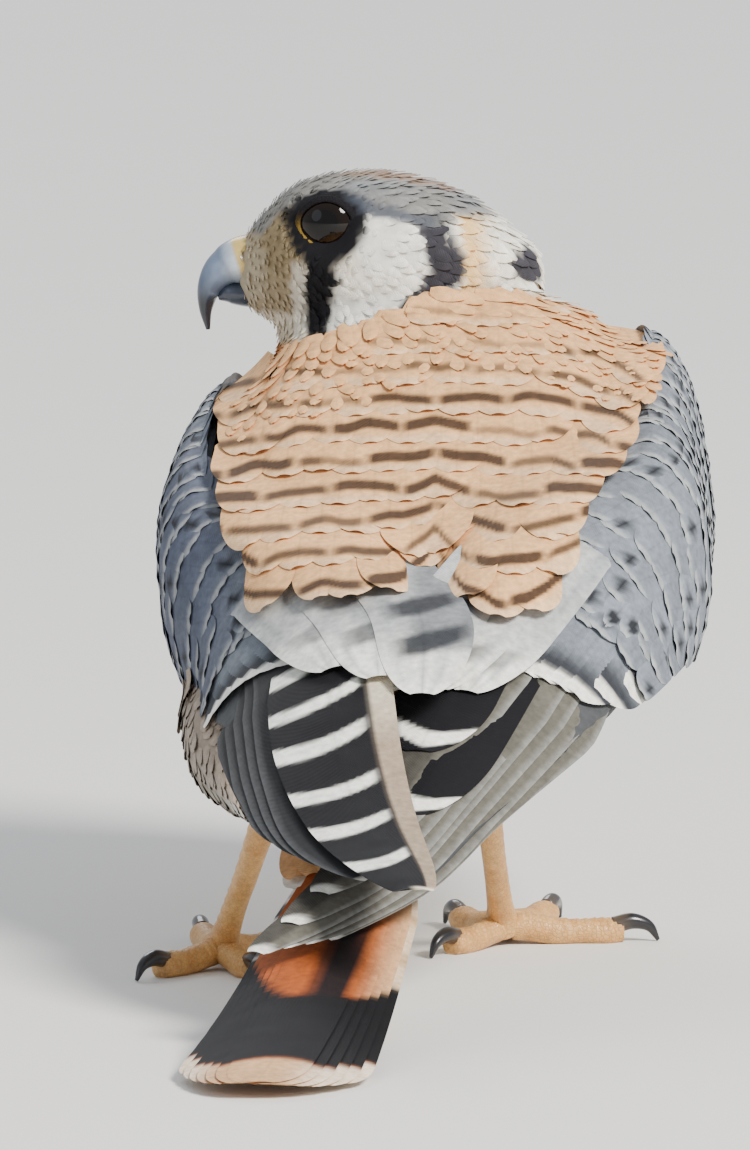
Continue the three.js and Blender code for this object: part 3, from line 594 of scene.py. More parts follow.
class Plumage:
    """Many vanes that become one mesh."""

    def __init__(self):
        self.parts = {key: [] for key in ("points", "colours", "barb", "quill", "uv", "rim")}
        self.faces = []
        self.count = 0

    def add(self, top, out, thick, colours, barb, quill, uv, flip=False):
        """Adds vanes: their upper points and ways out as (vane, row, column, 3)."""
        vanes, rows, columns = top.shape[:3]
        u = np.linspace(-1, 1, columns)
        depth = thick * (1 - u**2)[None, None, :, None]
        inner = (slice(None), slice(1, -1), slice(1, -1))
        rim = np.ones((rows, columns), bool)
        rim[1:-1, 1:-1] = False
        size = rows * columns + (rows - 2) * (columns - 2)

        def pack(values, below=None):
            below = values if below is None else below
            tail = values.shape[3:]
            return np.concatenate([values.reshape(vanes, rows * columns, *tail),
                                   below[inner].reshape(vanes, -1, *tail)], 1).reshape(vanes * size, *tail)

        self.parts["points"].append(pack(top, top - out * depth))
        self.parts["colours"].append(pack(colours))
        self.parts["barb"].append(pack(np.broadcast_to(barb, top.shape[:3])))
        self.parts["quill"].append(pack(np.broadcast_to(quill, top.shape[:3])))
        self.parts["uv"].append(pack(uv))
        self.parts["rim"].append(pack(np.broadcast_to(rim, top.shape[:3]),
                                      np.zeros(top.shape[:3], bool)))
        faces = vane_faces(rows, columns)
        if flip:
            faces = faces[:, ::-1]
        all_faces = faces[None] + (self.count + np.arange(vanes) * size)[:, None, None]
        self.faces.append(all_faces.reshape(-1, 4))
        self.count += vanes * size

    def build(self, name, slot, *nodes):
        """Makes one piece of all the vanes."""
        data = {key: np.concatenate(values) for key, values in self.parts.items()}
        lines = {"barb": data["barb"], "quill": data["quill"]}
        add_piece(name, data["points"], np.concatenate(self.faces), data["colours"], FEATHER, slot, *nodes,
                  attributes=lines, uv=data["uv"], sharp=data["rim"])


def outline(t, u, width, root=0.45, blunt=0.7, point=2.0):
    """How far each row's columns stand aside of a vane's middle, for rounded tips."""
    past = np.clip((t - blunt) / (1 - blunt), 0, 1)
    shape = np.minimum(1, root + (1 - root) * t / 0.3) * (1 - (0.97 * past) ** point) ** (1 / point)
    return shape[..., None] * u * (np.asarray(width)[..., None, None] / 2)


def lay_in_wing(plumage, side, surface, feathers, colour, rows=24, columns=7, thick=0.3, box=(0, 0, 1, 1),
                blunt=0.7, point=2.0, rise=0.45, tilt=0.0):
    """Lays vanes over a surface. Each has its root and tip as share across and place along Y, the
    sideways bend of its middle, its width, and its lift at root and tip. The colour is worked out for
    each corner from its share along (T) and across (U) the vane, its way from the root (S) and the vane's
    length (L) in millimetres, the vane's number and the corner's place."""
    turn = {"right": 1, "left": -1, "tail": -1, "under": 1}[side]
    data = np.array(feathers, float)
    root, tip = data[:, 0:2], data[:, 2:4]
    bend, width, low, high = data[:, 4:].T
    t = np.linspace(0, 1, rows)
    t = mix(t, 1 - (1 - t) ** 2, 0.5)
    u = np.linspace(-1, 1, columns)
    p = mix(root[:, None, 0], tip[:, None, 0], t) + bend[:, None] * 4 * t * (1 - t)
    y = mix(root[:, None, 1], tip[:, None, 1], t)
    _, _, _, scale = on_surface(surface, p, y, turn)
    aside = outline(np.broadcast_to(t, p.shape), u, width, blunt=blunt, point=point)
    along_p = p[..., None] + aside / scale[..., None]
    if side in WINGS:
        along_p = np.where(along_p < 0, 0.12 * along_p, along_p)
    grid_y = np.broadcast_to(y[..., None], along_p.shape)
    here, _, out, _ = on_surface(surface, along_p, grid_y, turn)
    climb = np.broadcast_to(t if rise >= 1 else smooth(t, 0, rise), p.shape)
    height = mix(low[:, None], high[:, None], climb)[..., None]
    height = height + 0.25 * (1 - u**2) + tilt * u - 0.06 * cloud(here, 3.0, 5)
    top = here + out * height[..., None]
    middle = top[:, :, columns // 2]
    step = np.linalg.norm(np.diff(middle, axis=1), axis=-1)
    s = np.concatenate([np.zeros((len(data), 1)), np.cumsum(step, 1)], 1)
    length = s[:, -1:]
    T = np.broadcast_to((s / length)[..., None], along_p.shape)
    U = np.broadcast_to(u, along_p.shape)
    S = np.broadcast_to(s[..., None], along_p.shape)
    L = np.broadcast_to(length[..., None], along_p.shape)
    number = np.broadcast_to(np.arange(len(data))[:, None, None], along_p.shape)
    colours = colour(T, U, S, L, number, top)
    barb = (S + np.abs(aside) * BARB_SLANT) / BARB_GAP
    x0, y0, x1, y1 = box
    place = (number + 0.5 + 0.46 * U) / len(data)
    uv = np.stack([mix(x0, x1, place), mix(y0, y1, 0.01 + 0.98 * T)], -1)
    plumage.add(top, out, thick, colours, barb, U, uv, flip=turn < 0)


def lay_on_bed(plumage, bed, roots, normals, heading, length, width, lift, colour, place_uv, rows=6,
               columns=3, thick=0.22, sink=0.5, blunt=0.55, jitter=0.12, camber=0.15):
    """Lays small feathers on a bed from their roots, along its lie. The colour is worked out for each
    corner from its share along (T) and across (U) the feather, the feather's number and its place."""
    count = len(roots)
    t = np.linspace(0, 1, rows) ** 0.85
    u = np.linspace(-1, 1, columns)
    length = np.broadcast_to(length, count)
    width = np.broadcast_to(width, count)
    lift = np.broadcast_to(lift, count) + rng.normal(0, 0.06, count)
    splay = rng.normal(0, jitter, count)
    aside = outline(np.broadcast_to(t, (count, rows)), u, width, root=0.5, blunt=blunt)
    p, n = roots, normals
    paths, outs, ways = [], [], []
    for r in range(rows):
        d = heading(p, n)
        d = unit(d - n * (d * n).sum(-1, keepdims=True))
        w = np.cross(d, n)
        d = d * np.cos(splay)[:, None] + w * np.sin(splay)[:, None]
        paths.append(p)
        outs.append(n)
        ways.append(np.cross(d, n))
        if r < rows - 1:
            p, n = bed.nearest(p + d * ((t[r + 1] - t[r]) * length)[:, None])
    path, out, way = (np.stack(v, 1) for v in (paths, outs, ways))
    edge = [path + way * aside[:, :, k, None] for k in (0, -1)]
    edge_spots = [bed.nearest(e) for e in edge]
    half = np.abs(u)[None, None, :, None]
    nearer = [0 if v < 0 else -1 for v in u]
    spots, ups = (np.stack([edge_spots[k][part] for k in nearer], 2) for part in (0, 1))
    rim = path[:, :, None] + way[:, :, None] * aside[:, :, nearer][..., None]
    here = path[:, :, None] + way[:, :, None] * aside[..., None] + (spots - rim) * half**2
    outward = unit(mix(np.broadcast_to(out[:, :, None], here.shape), ups, half))
    T = np.broadcast_to(t[None, :, None], here.shape[:3])
    U = np.broadcast_to(u, here.shape[:3])
    height = mix(-sink, lift[:, None, None], T) - camber * U**2
    top = here + outward * height[..., None]
    number = np.broadcast_to(np.arange(count)[:, None, None], here.shape[:3])
    colours = colour(T, U, number, top)
    barb = (T * length[:, None, None] + np.abs(aside) * BARB_SLANT) / BARB_GAP
    uv = place_uv(roots)[:, None, None] + SMALL_FEATHER_PATCH * np.stack([U * 0.5, T], -1)
    plumage.add(top, outward, thick, colours, barb, U, uv)


# Materials


class Look:
    """A material and the nodes that lead to its shader."""

    def __init__(self, name):
        self.made = bpy.data.materials.new(name)
        self.made.use_nodes = True
        self.tree = self.made.node_tree
        self.shader = self.tree.nodes["Principled BSDF"]

    def node(self, kind, **settings):
        """A new node. Settings whose names start with in_ are values of its inputs."""
        new = self.tree.nodes.new(kind)
        for key, value in settings.items():
            if key.startswith("in_"):
                place = key[3:]
                new.inputs[int(place) if place.isdigit() else place].default_value = value
            else:
                setattr(new, key, value)
        return new

    def link(self, source, target):
        self.tree.links.new(source, target)

    def attribute(self, name, output="Fac"):
        return self.node("ShaderNodeAttribute", attribute_name=name).outputs[output]

    def texture(self, kind, output, **settings):
        """A texture fixed to the piece, in cells per metre."""
        place = self.node("ShaderNodeTexCoord")
        new = self.node(kind, **settings)
        self.link(place.outputs["Object"], new.inputs["Vector"])
        return new.outputs[output]

    def noise(self, scale, detail=3.0):
        return self.texture("ShaderNodeTexNoise", "Fac", in_Scale=scale, in_Detail=detail)

    def ranged(self, source, low, high, first, last):
        """A socket's value, taken from one range to another."""
        new = self.node("ShaderNodeMapRange", in_1=low, in_2=high, in_3=first, in_4=last)
        self.link(source, new.inputs[0])
        return new.outputs[0]

    def maths(self, operation, *sources):
        """A number worked out from sockets and numbers."""
        new = self.node("ShaderNodeMath", operation=operation)
        for k, source in enumerate(sources):
            if isinstance(source, bpy.types.NodeSocket):
                self.link(source, new.inputs[k])
            else:
                new.inputs[k].default_value = source
        return new.outputs[0]

    def mixed(self, share, a, b, blend="MIX"):
        """Two colours mixed, each a value or a socket."""
        mixer = self.node("ShaderNodeMix", data_type="RGBA", blend_type=blend)
        for index, value in ((0, share), (6, a), (7, b)):
            if isinstance(value, bpy.types.NodeSocket):
                self.link(value, mixer.inputs[index])
            else:
                mixer.inputs[index].default_value = value if index == 0 else (*value, 1)
        return mixer.outputs[2]

    def toned(self, colour, tone):
        """A colour made darker or lighter by a number."""
        grey = self.node("ShaderNodeCombineColor")
        for k in range(3):
            self.link(tone, grey.inputs[k])
        return self.mixed(1.0, colour, grey.outputs[0], "MULTIPLY")

    def finish(self, colour, gloss, relief, strength, depth):
        """Gives the shader its colour, its gloss by input, and a relief, and returns the material."""
        self.link(colour, self.shader.inputs["Base Color"])
        for key, value in gloss.items():
            self.shader.inputs[key].default_value = value
        lift = self.node("ShaderNodeBump", in_Strength=strength, in_Distance=depth)
        self.link(relief, lift.inputs["Height"])
        self.link(lift.outputs[0], self.shader.inputs["Normal"])
        return self.made


def feather_material():
    """Painted vanes with fine slanting barbs, a shaft and a soft sheen."""
    look = Look("feather")
    wave = look.maths("SINE", look.maths("MULTIPLY", look.attribute("barb"), 2 * math.pi))
    tones = [
        look.ranged(look.noise(900), 0.3, 0.75, 0.78, 1.14),
        look.ranged(look.noise(160, 2), 0.25, 0.75, 0.9, 1.08),
        look.ranged(wave, -1, 1, 0.96, 1.03),
        look.ranged(look.maths("ABSOLUTE", look.attribute("quill")), 0.0, 0.07, 0.88, 1.0),
    ]
    tone = tones[0]
    for other in tones[1:]:
        tone = look.maths("MULTIPLY", tone, other)
    gloss = {"Roughness": 0.72, "Specular IOR Level": 0.2, "Sheen Weight": 0.03, "Sheen Roughness": 0.5}
    return look.finish(look.toned(look.attribute("Col", "Color"), tone), gloss, wave, 0.2, 0.0001)


def floor_material():
    """One pale colour with soft blotches of another and a fine relief."""
    look = Look("floor")
    fine = look.noise(30)
    share = look.ranged(fine, 0.35, 0.7, 0.0, 0.5)
    colour = look.mixed(share, (0.8, 0.79, 0.77), (0.78, 0.77, 0.75))
    return look.finish(colour, {"Roughness": 0.9, "Specular IOR Level": 0.5}, fine, 0.4, 0.00001)


def painted_material(name, rough, scale, depth, coat=0.0, level=0.5, cells=None):
    """Colours painted at the corners, with blotches, and with scales where cells are given."""
    look = Look(name)
    fine = look.noise(scale)
    colour = look.toned(look.attribute("Col", "Color"), look.ranged(fine, 0.3, 0.75, 0.84, 1.1))
    relief = fine
    if cells:
        edge = look.texture("ShaderNodeTexVoronoi", "Distance", feature="DISTANCE_TO_EDGE", in_Scale=cells)
        relief = look.ranged(edge, 0.0, 0.16, 0.0, 1.0)
        seam = look.mixed(1.0, colour, (0.85, 0.77, 0.66), "MULTIPLY")
        colour = look.mixed(relief, seam, colour)
    gloss = {"Roughness": rough, "Coat Weight": coat, "Specular IOR Level": level}
    return look.finish(colour, gloss, relief, 0.5, depth)


FEATHER = feather_material()
SKIN = painted_material("skin", 0.8, 700, 0.0002, level=0.25)
BILL_HORN = painted_material("bill", 0.3, 500, 0.00005, coat=0.35)
LEG_SKIN = painted_material("leg", 0.5, 900, 0.00012, coat=0.1, cells=1600)
CLAW_HORN = painted_material("claw", 0.28, 700, 0.00005, coat=0.3)
LID_SKIN = painted_material("lid", 0.85, 1200, 0.00012, level=0.1, cells=2200)
EYE_GLOSS = painted_material("eye", 0.06, 500, 0.000001, level=0.3)

# Flight feathers

WINGS = {side: wing_surface(side) for side in ("right", "left")}


def even(colour, T):
    """One colour at every corner of the vanes."""
    return np.broadcast_to(colour, T.shape + (3,))


def grain(t, s, number, top, amount=0.12):
    """Slight streaks that differ from vane to vane."""
    return 1 + amount * cloud(np.stack([s * 0.3, t * 0 + number * 7.1, top[..., 0]], -1), 1.2, 3)


def soft_tip(colour, T, U, pale=0.1):
    """Lighter towards the tip and a little darker at the root."""
    return colour * (0.86 + (0.14 + pale) * T * (1 - 0.3 * U**2))[..., None]


def primary_colour(T, U, S, L, number, top):
    """Dusky vanes with a pale tip rim and thin pale edges."""
    colour = even(mix(BLACK, GREY, 0.04), T)
    edge = smooth(np.abs(U), 0.9, 1.0)
    colour = paint(colour, GREY, edge * 0.2)
    colour = paint(colour, mix(WHITE, CREAM, 0.4), smooth(L - S, 2.0, 0.6) * 0.7)
    return colour * grain(T, S, number, top)[..., None]


def grey_primary_colour(T, U, S, L, number, top):
    """Grey-brown outer webs with a dark shaft side, as on the stacked wing."""
    colour = even(mix(GREY, shade("6b6452"), 0.75), T) * 0.7
    colour = paint(colour, BLACK, smooth(U, -0.35, 0.15) * 0.55)
    colour = paint(colour, mix(GREY, WHITE, 0.3), smooth(-U, 0.8, 0.97) * 0.35)
    rim = smooth(L - S + 1.2 * U**2, 3.2, 1.6)
    colour = paint(colour, WHITE, rim * 0.85)
    return colour * grain(T, S, number, top, 0.16)[..., None]


def barred_colour(T, U, S, L, number, top):
    """Black with thin white bars that sag and then rise to the inner side, and a dusky outer strip."""
    place = (U + 1) / 1.5
    climb = 9.0 * place**2 - 5.6 * place
    phase = (L - S - climb - 13 + 0.7 * np.sin(S * 0.23)) / 12.4
    wave = np.abs((phase % 1) - 0.5) * 2
    swell = 0.06 * U
    white = smooth(wave, 0.66 + swell, 0.8 + swell) * smooth(L - S, 8.5, 10.5) * smooth(-U, -0.58, -0.42)
    colour = paint(even(BLACK, T), WHITE, white)
    strip = smooth(U, 0.56, 0.66)
    pale = mix(shade("a3907c"), CREAM, smooth(L - S, 48, 62)[..., None] * 0.6)
    colour = paint(colour, pale, strip)
    colour = paint(colour, BLACK, smooth(np.abs(U - 0.6), 0.05, 0.02) * 0.6)
    colour = paint(colour, CREAM, smooth(L - S, 1.8, 0.6) * smooth(U, -0.3, 0.3))
    return colour * grain(T, S, number, top, 0.08)[..., None]


def crescent_colour(T, U, S, L, number, top):
    """Black vanes with a white crescent before a dark tip."""
    along = L - S - 3.4 * (U + 0.15) ** 2
    colour = even(BLACK, T)
    colour = paint(colour, WHITE, smooth(np.abs(along - 2.6), 2.1, 1.3) * smooth(U, 1.0, 0.6))
    return colour * grain(T, S, number, top)[..., None]


def secondary_colour(T, U, S, L, number, top):
    """Blue-grey, darker towards a broad white tip."""
    colour = even(SLATE, T)
    colour = paint(colour, BLACK, smooth(L - S, 10.5, 4.6) * 0.85)
    colour = paint(colour, WHITE, smooth(L - S - 0.6 * U**2, 3.6, 2.3))
    return colour * grain(T, S, number, top)[..., None]


def tertial_colour(T, U, S, L, number, top, slant, bars):
    """Pale grey to white with dark slanting patches, most on the vanes nearest the middle."""
    colour = even(mix(SLATE, WHITE, 0.4), T)
    colour = paint(colour, WHITE, smooth(L - S, 19, 5) * 0.9)
    streak = cloud(np.stack([S * 0.06, U * 6 + number * 3.3, S * 0], -1), 1.0, 4)
    colour = paint(colour, SLATE, smooth(streak, 0.1, 0.7) * 0.45)
    along = L - S - 1.8 * U**2 + slant * U
    thick = 2.9 * (1 - 0.35 * np.abs(U))
    near, far = (smooth(np.abs(along - place), thick + 0.9, thick - 0.9) for place in bars)
    inner = smooth(number, 0.4, 1.6)
    bar = near * inner + far * inner + 0.6 * near * (1 - inner)
    side = smooth(U, -0.8, -0.35) * smooth(np.abs(U), 0.97, 0.75)
    last = smooth(number, 1.6, 1.9) * smooth(top[..., 0], -6, -2) * smooth(L - S, 9, 12) * (bars[0] > 10)
    colour = paint(colour, mix(BLACK, SLATE, 0.5), last * 0.7)
    colour = paint(colour, mix(BLACK, SLATE, 0.12), np.clip(bar, 0, 1) * side * 0.95)
    return colour * grain(T, S, number, top)[..., None]


def covert_colour(T, U, S, L, number, top):
    """Blue-grey with painted shade towards the left wing's outer edge, and a dark spot near the tip of some
    feathers.
    """
    draw = lattice(np.stack([number, number * 0 + 3, number * 0], -1), 9)
    colour = even(SLATE, T) * (0.9 + 0.28 * draw)[..., None]
    # painted shade: darker blue-grey over the left wing's outer rear coverts
    deep = smooth(-top[..., 0], 23, 36) * smooth(-top[..., 1], -48, -10)
    colour = paint(colour, shade("39415a"), deep * 0.7)
    colour = paint(colour, mix(SLATE, WHITE, 0.45), smooth(L - S, 1.6, 0.4) * 0.5)
    small = smooth(L, 12, 8)
    spot = smooth(np.hypot((L - S - 2.9 + small) / (1.7 - 0.6 * small), U / 0.36), 1.15, 0.75)
    spot = spot * (draw > 0.4 + 0.3 * small)
    colour = paint(colour, BLACK, spot * 0.92)
    pale = smooth(np.abs(top[..., 0] + 3), 24, 12) * smooth(top[..., 1], -2, -16)
    colour = paint(colour, mix(SLATE, WHITE, 0.55), pale * 0.8)
    return colour * grain(T, S, number, top)[..., None]


def tier(count, roots, tips, width, lifts, bend=0.0, step=0.0):
    """A row of vanes from the outermost in, between the first and last root and tip."""
    rows = []
    for i in range(count):
        part = i / max(1, count - 1)
        root = [mix(roots[0][k], roots[1][k], part) for k in (0, 1)]
        tip = [mix(tips[0][k], tips[1][k], part) for k in (0, 1)]
        rows.append([*root, *tip, bend, width, lifts[0] + step * i, lifts[1] + step * i])
    return rows


def small_coverts(surface, first_y, last_y):
    """Rows of coverts, small at the wing's front, the last ones over its leading half only."""
    feathers = []
    row = 0
    y = first_y
    while y > last_y:
        gap, width, length = (np.interp(y, [24, 44, 62], sizes) for sizes in
                              ((5, 3.4, 2.4), (8, 5.4, 3.8), (12.5, 9, 6.5)))
        _, _, _, reach = on_surface(surface, np.array(0.5), np.array(min(y, 60.0)), 1)
        across = max(3, int(reach / width * (1.6 if y > 24 else 1.75)))
        for k in range(across + 1):
            p = 0.02 + 0.97 * (k + (0.5 if row % 2 else 0)) / across
            if p > (1.0 if y > -13 else 0.66):
                continue
            wobble = rng.normal(0, 1, 3)
            start = y + length * 0.24
            feathers.append([p + 0.012 * wobble[0], start + 0.4 * wobble[1], p + 0.02 * wobble[2],
                             start - length + 0.5 * wobble[1], 0, width, -0.35, 0.42 + 0.03 * wobble[0]])
        y -= gap
        row += 1
    return feathers


def follow_tips(rows, ends):
    """Sets each vane's tip by its share across: a table of share and place along Y."""
    for row in rows:
        row[3] = np.interp(row[2], *zip(*ends))
    return rows


def build_wing(side):
    """Rows of vanes from the flight feathers up to the coverts, over a plain core."""
    surface = WINGS[side]
    flight = Plumage()

    def lay(feathers, colour, rows, columns, **settings):
        lay_in_wing(flight, side, surface, feathers, colour, rows, columns, **settings)

    if side == "right":
        lay(tier(4, [[0.2, -22], [0.42, -24]], [[0.14, -98], [0.52, -105]], 10, (-2.2, -1.6), step=0.35),
            grey_primary_colour, 70, 9, box=(0, 0, 0.3, 1))
        lay(tier(3, [[0.47, -24], [0.62, -26]], [[0.6, -98], [0.78, -84]], 11, (-2, -0.2), step=0.35),
            grey_primary_colour, 64, 9, box=(0.3, 0, 0.45, 1), rise=0.6)
        lay(tier(2, [[0.7, -26], [0.84, -26]], [[0.62, -73], [0.8, -61]], 14.5, (-1.4, 0.5), step=0.4),
            crescent_colour, 60, 13, box=(0.45, 0, 0.55, 1), rise=0.8)
        secondaries = tier(8, [[0.12, -4], [0.66, -8]], [[0.08, -31], [0.7, -44]], 12, (-1.2, -0.5),
                           step=0.06)
        ends = [(0.06, -29), (0.15, -36), (0.25, -41), (0.7, -43)]
        lay(follow_tips(secondaries, ends), secondary_colour, 30, 9, box=(0.55, 0, 0.8, 1), tilt=0.15)
        lay(tier(3, [[0.7, -6], [0.98, -8]], [[0.72, -50], [1.02, -51]], 13, (-1.2, 1.5), step=0.35),
            lambda *at: tertial_colour(*at, slant=2.4, bars=(7.5, 19)), 60, 13, box=(0.8, 0, 1, 1), rise=0.55)
    else:
        lay(tier(5, [[0.2, -22], [0.42, -24]], [[0.12, -80], [0.34, -104]], 10.5, (-2.2, -1.6), step=0.35),
            primary_colour, 70, 9, box=(0, 0, 0.35, 1))
        lay([[0.6, -20, 0.66, -113, 0, 18.5, -1.3, 1.0]], barred_colour, 150, 31, box=(0.35, 0, 0.5, 1),
            blunt=0.35, rise=0.45)
        lay(tier(8, [[0.12, -4], [0.6, -8]], [[0.1, -28], [0.6, -42]], 12, (-1.2, -0.5), step=0.06),
            secondary_colour, 30, 9, box=(0.5, 0, 0.75, 1), tilt=-0.15)
        lay(tier(3, [[0.62, -6], [1.0, -8]], [[0.66, -49], [1.08, -58]], 14, (-1.2, 1.6), step=0.35),
            lambda *at: tertial_colour(*at, slant=-2.4, bars=(12, 23)), 60, 13, box=(0.75, 0, 1, 1),
            rise=0.55)
    last = -30 if side == "right" else -26
    big = tier(9, [[0.09, 0], [0.74, 6]], [[0.07, -20], [0.84, last]], 8.5, (-0.7, 0.3))
    lay(follow_tips(big, [(0.07, -22), (0.5, last), (0.62, last + 6), (0.84, -12)]), covert_colour, 26, 9,
        thick=0.16, rise=1, tilt=0.1)
    lay(small_coverts(surface, 62, -22 if side == "right" else -17), covert_colour, 14, 7, thick=0.14,
        rise=1, tilt=0.08)
    flight.build(f"wing_{side}_feathers", "wing", f"wing_{side}")

    last = -84 if side == "right" else -88
    points, faces = loft(wing_rings(side, 57, last, -1.3, 0))
    rear = smooth(points[:, 1], -20, -32)
    colours = paint(mix(SLATE, BLACK, 0.2), mix(GREY, BLACK, 0.75), rear)
    add_piece(f"wing_{side}_core", points, faces, colours, SKIN, "wing", f"wing_{side}")


def wing_rings(side, first, last, grow, inner_grow):
    """Sections of a wing between two places along Y, its outside raised by so much at each edge."""
    surface, lining = WINGS[side], wing_surface(side, True)
    rings = []
    for y in spread(first, last, 40):
        inset = 0.1 * (1 - smooth(np.array(y), -46, -16)) if grow < 0 else 0
        p = np.linspace(inset, 1 - inset, 14)
        here, _, out, _ = on_surface(surface, p, np.full(14, y), 1 if side == "right" else -1)
        rise = mix(grow, grow + inner_grow, smooth(p, 0.3, 0.9))[:, None]
        rings.append(np.concatenate([here + out * rise, lining(p, np.full(14, y))[::-1]]))
    return rings


def tail_colour(T, U, S, L, number, top):
    """Rufous with a black band before a pale tip; the outer pair is white and barred outside."""
    spread_place = (number - 5.5) / 5.5
    colour = even(TAIL_RED, T)
    outer = (np.abs(spread_place) > 0.9) & (U * np.sign(spread_place) > 0.05)
    colour = paint(colour, WHITE, outer * 0.85)
    bars = smooth(np.abs(((L - S) / 13.0) % 1 - 0.5), 0.32, 0.4) * outer
    colour = paint(colour, BLACK, bars * 0.9)
    down = (TAIL["root"][1] - top[..., 1]) / (TAIL["root"][1] - TAIL["tip"][1])
    middle = TAIL["root"][0] + (TAIL["tip"][0] - TAIL["root"][0]) * down
    off_middle = (top[..., 0] - middle) / mix(TAIL["root_half"], TAIL["tip_half"], down)
    # painted shadow of the wing tips: a dark stripe down the tail, right of its middle
    dark = smooth(np.abs(off_middle - 0.26), 0.27, 0.17)
    colour = paint(colour, mix(BLACK, TAIL_RED, 0.02), dark)
    colour = paint(colour, BUFF, smooth(off_middle, 0.5, 0.95) * 0.75)
    rim = 12.5 + 0.8 * np.sin(number * 2.3) - 1.5 * U**2
    top_edge = 42 + 9 * smooth(-off_middle, 0.1, 0.8) + 2 * smooth(off_middle, 0.2, 0.8)
    band = smooth(L - S, rim - 0.6, rim + 0.6) * smooth(L - S, top_edge, top_edge - 2.5)
    colour = paint(colour, BLACK * 0.7, band)
    pale = mix(mix(BUFF, TAIL_RED, 0.3), mix(BUFF, WHITE, 0.45),
               smooth(np.abs(off_middle + 0.1), 0.3, 0.8)[..., None])
    colour = paint(colour, pale, smooth(L - S, rim + 0.6, rim - 0.6))
    colour = paint(colour, TAIL_RED * 0.6, smooth(np.abs(L - S - rim), 1.3, 0.4) * 0.5)
    return colour * grain(T, S, number, top)[..., None]


def build_tail():
    """Twelve vanes, the middle pair on top."""
    rows = []
    half = TAIL["count"] / 2
    for i in range(TAIL["count"]):
        order = min(i, TAIL["count"] - 1 - i)
        place = (half - 0.5 - order) / half * (-1 if i < half else 1)
        end = TAIL["tip"][1] + TAIL["rounding"] * (place - TAIL["longest"]) ** 2
        lift = -1.0 + 0.36 * (order + (0 if i < half else 0.5))
        rows.append([place * 0.45, -52, place * 0.72, end, 0, 11.5, lift, lift])
    feathers = Plumage()
    lay_in_wing(feathers, "tail", tail_surface, rows, tail_colour, rows=90, columns=9, thick=0.35,
                blunt=0.88, point=2.6)
    feathers.build("tail_feathers", "tail", "tail")


for side in ("right", "left"):
    build_wing(side)
build_tail()

# Skin under the small feathers


def thigh_rings(side, grow):
    return rod(LEGS[side]["thigh"], [r + grow for r in THIGH_RADII], 40, 24)


def ellipsoid(centre, axes, around=24, down=16):
    rings = []
    for i in range(down + 1):
        angle = math.pi * (0.02 + 0.96 * i / down)
        turn = np.arange(around) / around * 2 * np.pi
        rings.append(centre + axes[0] * math.cos(angle) + math.sin(angle)
                     * (axes[1] * np.cos(turn)[:, None] + axes[2] * np.sin(turn)[:, None]))
    return rings


def brow_rings(way, grow):
    """The ridge over an eye."""
    front, rear = head_place(*BROW["front"] * [1, way, 1]), head_place(*BROW["rear"] * [1, way, 1])
    long = (front - rear) / 2
    across = unit(np.cross(long, UP))
    return ellipsoid((front + rear) / 2, [long, across * (BROW["wide"] + grow), UP * (BROW["high"] + grow)])


EYES = {}
for side, way in (("left", 1), ("right", -1)):
    turn = math.radians(12)
    axis = FORWARD * math.sin(turn) + LEFT * (way * math.cos(turn)) + UP * 0.06
    EYES[side] = (head_place(EYE_SEEN["forward"], EYE["aside"] * way, EYE_SEEN["up"]), unit(axis))


def eye_distance(points, side):
    """How far points stand from the eye's axis, and how far out along it."""
    centre, axis = EYES[side]
    off = points - centre
    out = off @ axis
    return np.linalg.norm(off - out[..., None] * axis, axis=-1), out


def carve_sockets(points):
    """Sinks the skin behind the eyeball, inside its lids."""
    for side in EYES:
        centre, _ = EYES[side]
        aside, out = eye_distance(points, side)
        off = points - centre
        reach = np.linalg.norm(off, axis=-1, keepdims=True)
        inside = centre + off / np.maximum(reach, 1e-6) * np.minimum(reach, EYE["radius"] - 0.7)
        share = smooth(aside, 4.9, 3.6) * (out > 0)
        points = mix(points, inside, share[:, None])
    return points


flesh = [loft(torso_rings(-COAT)), loft(neck_rings(-COAT)), loft(head_rings(-COAT)),
         loft(thigh_rings("left", -COAT)), loft(thigh_rings("right", -COAT)),
         loft(brow_rings(1, -COAT)), loft(brow_rings(-1, -COAT))]
skin_points, skin_faces = fused("skin", flesh, 1.1, 6)
skin_points = carve_sockets(skin_points)
sunk = 0.5 * smooth(skin_points[:, 2], 84, 78)
skin_points = skin_points - Bed(skin_points, skin_faces).normals * sunk[:, None]
BED = Bed(skin_points, skin_faces)
closed_wings = [loft(wing_rings(side, 58, -60, 0.8, 1.7)) for side in ("right", "left")]
WHOLE = Bed(*fused("whole", flesh[:5] + closed_wings, 1.4, 8))

# Markings

COLLAR_LINE = np.array([  # X, height where the head's colours end on the nape, along the view
    [-31, 83], [-28, 86], [-25.3, 88.2], [-20, 89.7], [-13.5, 91.2], [-7.6, 93.4], [-1, 95.9], [8, 96.6],
    [15, 96], [19.6, 93.8], [24, 92.4], [28.4, 91.5], [31.7, 90.3], [34, 88],
])


def collar(x):
    return np.interp(x, *COLLAR_LINE.T)


CROWN_LINE = np.array([  # forward, up: the crown is blue-grey above it
    [-22, 4], [-16, 6], [-10, 6.7], [-5, 6.3], [0, 7.4], [4, 9], [8, 10.6], [12, 9.8], [15, 8.6], [19, 5.5],
])
EAR_STRIPE = np.array([  # up, forward, half width
    [-7, -1.2, 0.6], [-5.5, -3, 1.9], [-4, -5.3, 2.7], [-1, -7.7, 2.6], [2, -7.4, 2.4], [6, -6.8, 2.2],
])
MOUSTACHE = np.array([  # up, forward, half width
    [-10, 11.9, 0.8], [-8, 11.6, 1.7], [-3, 10.8, 2.6], [1, 10.4, 2.5], [4, 10.2, 3],
])


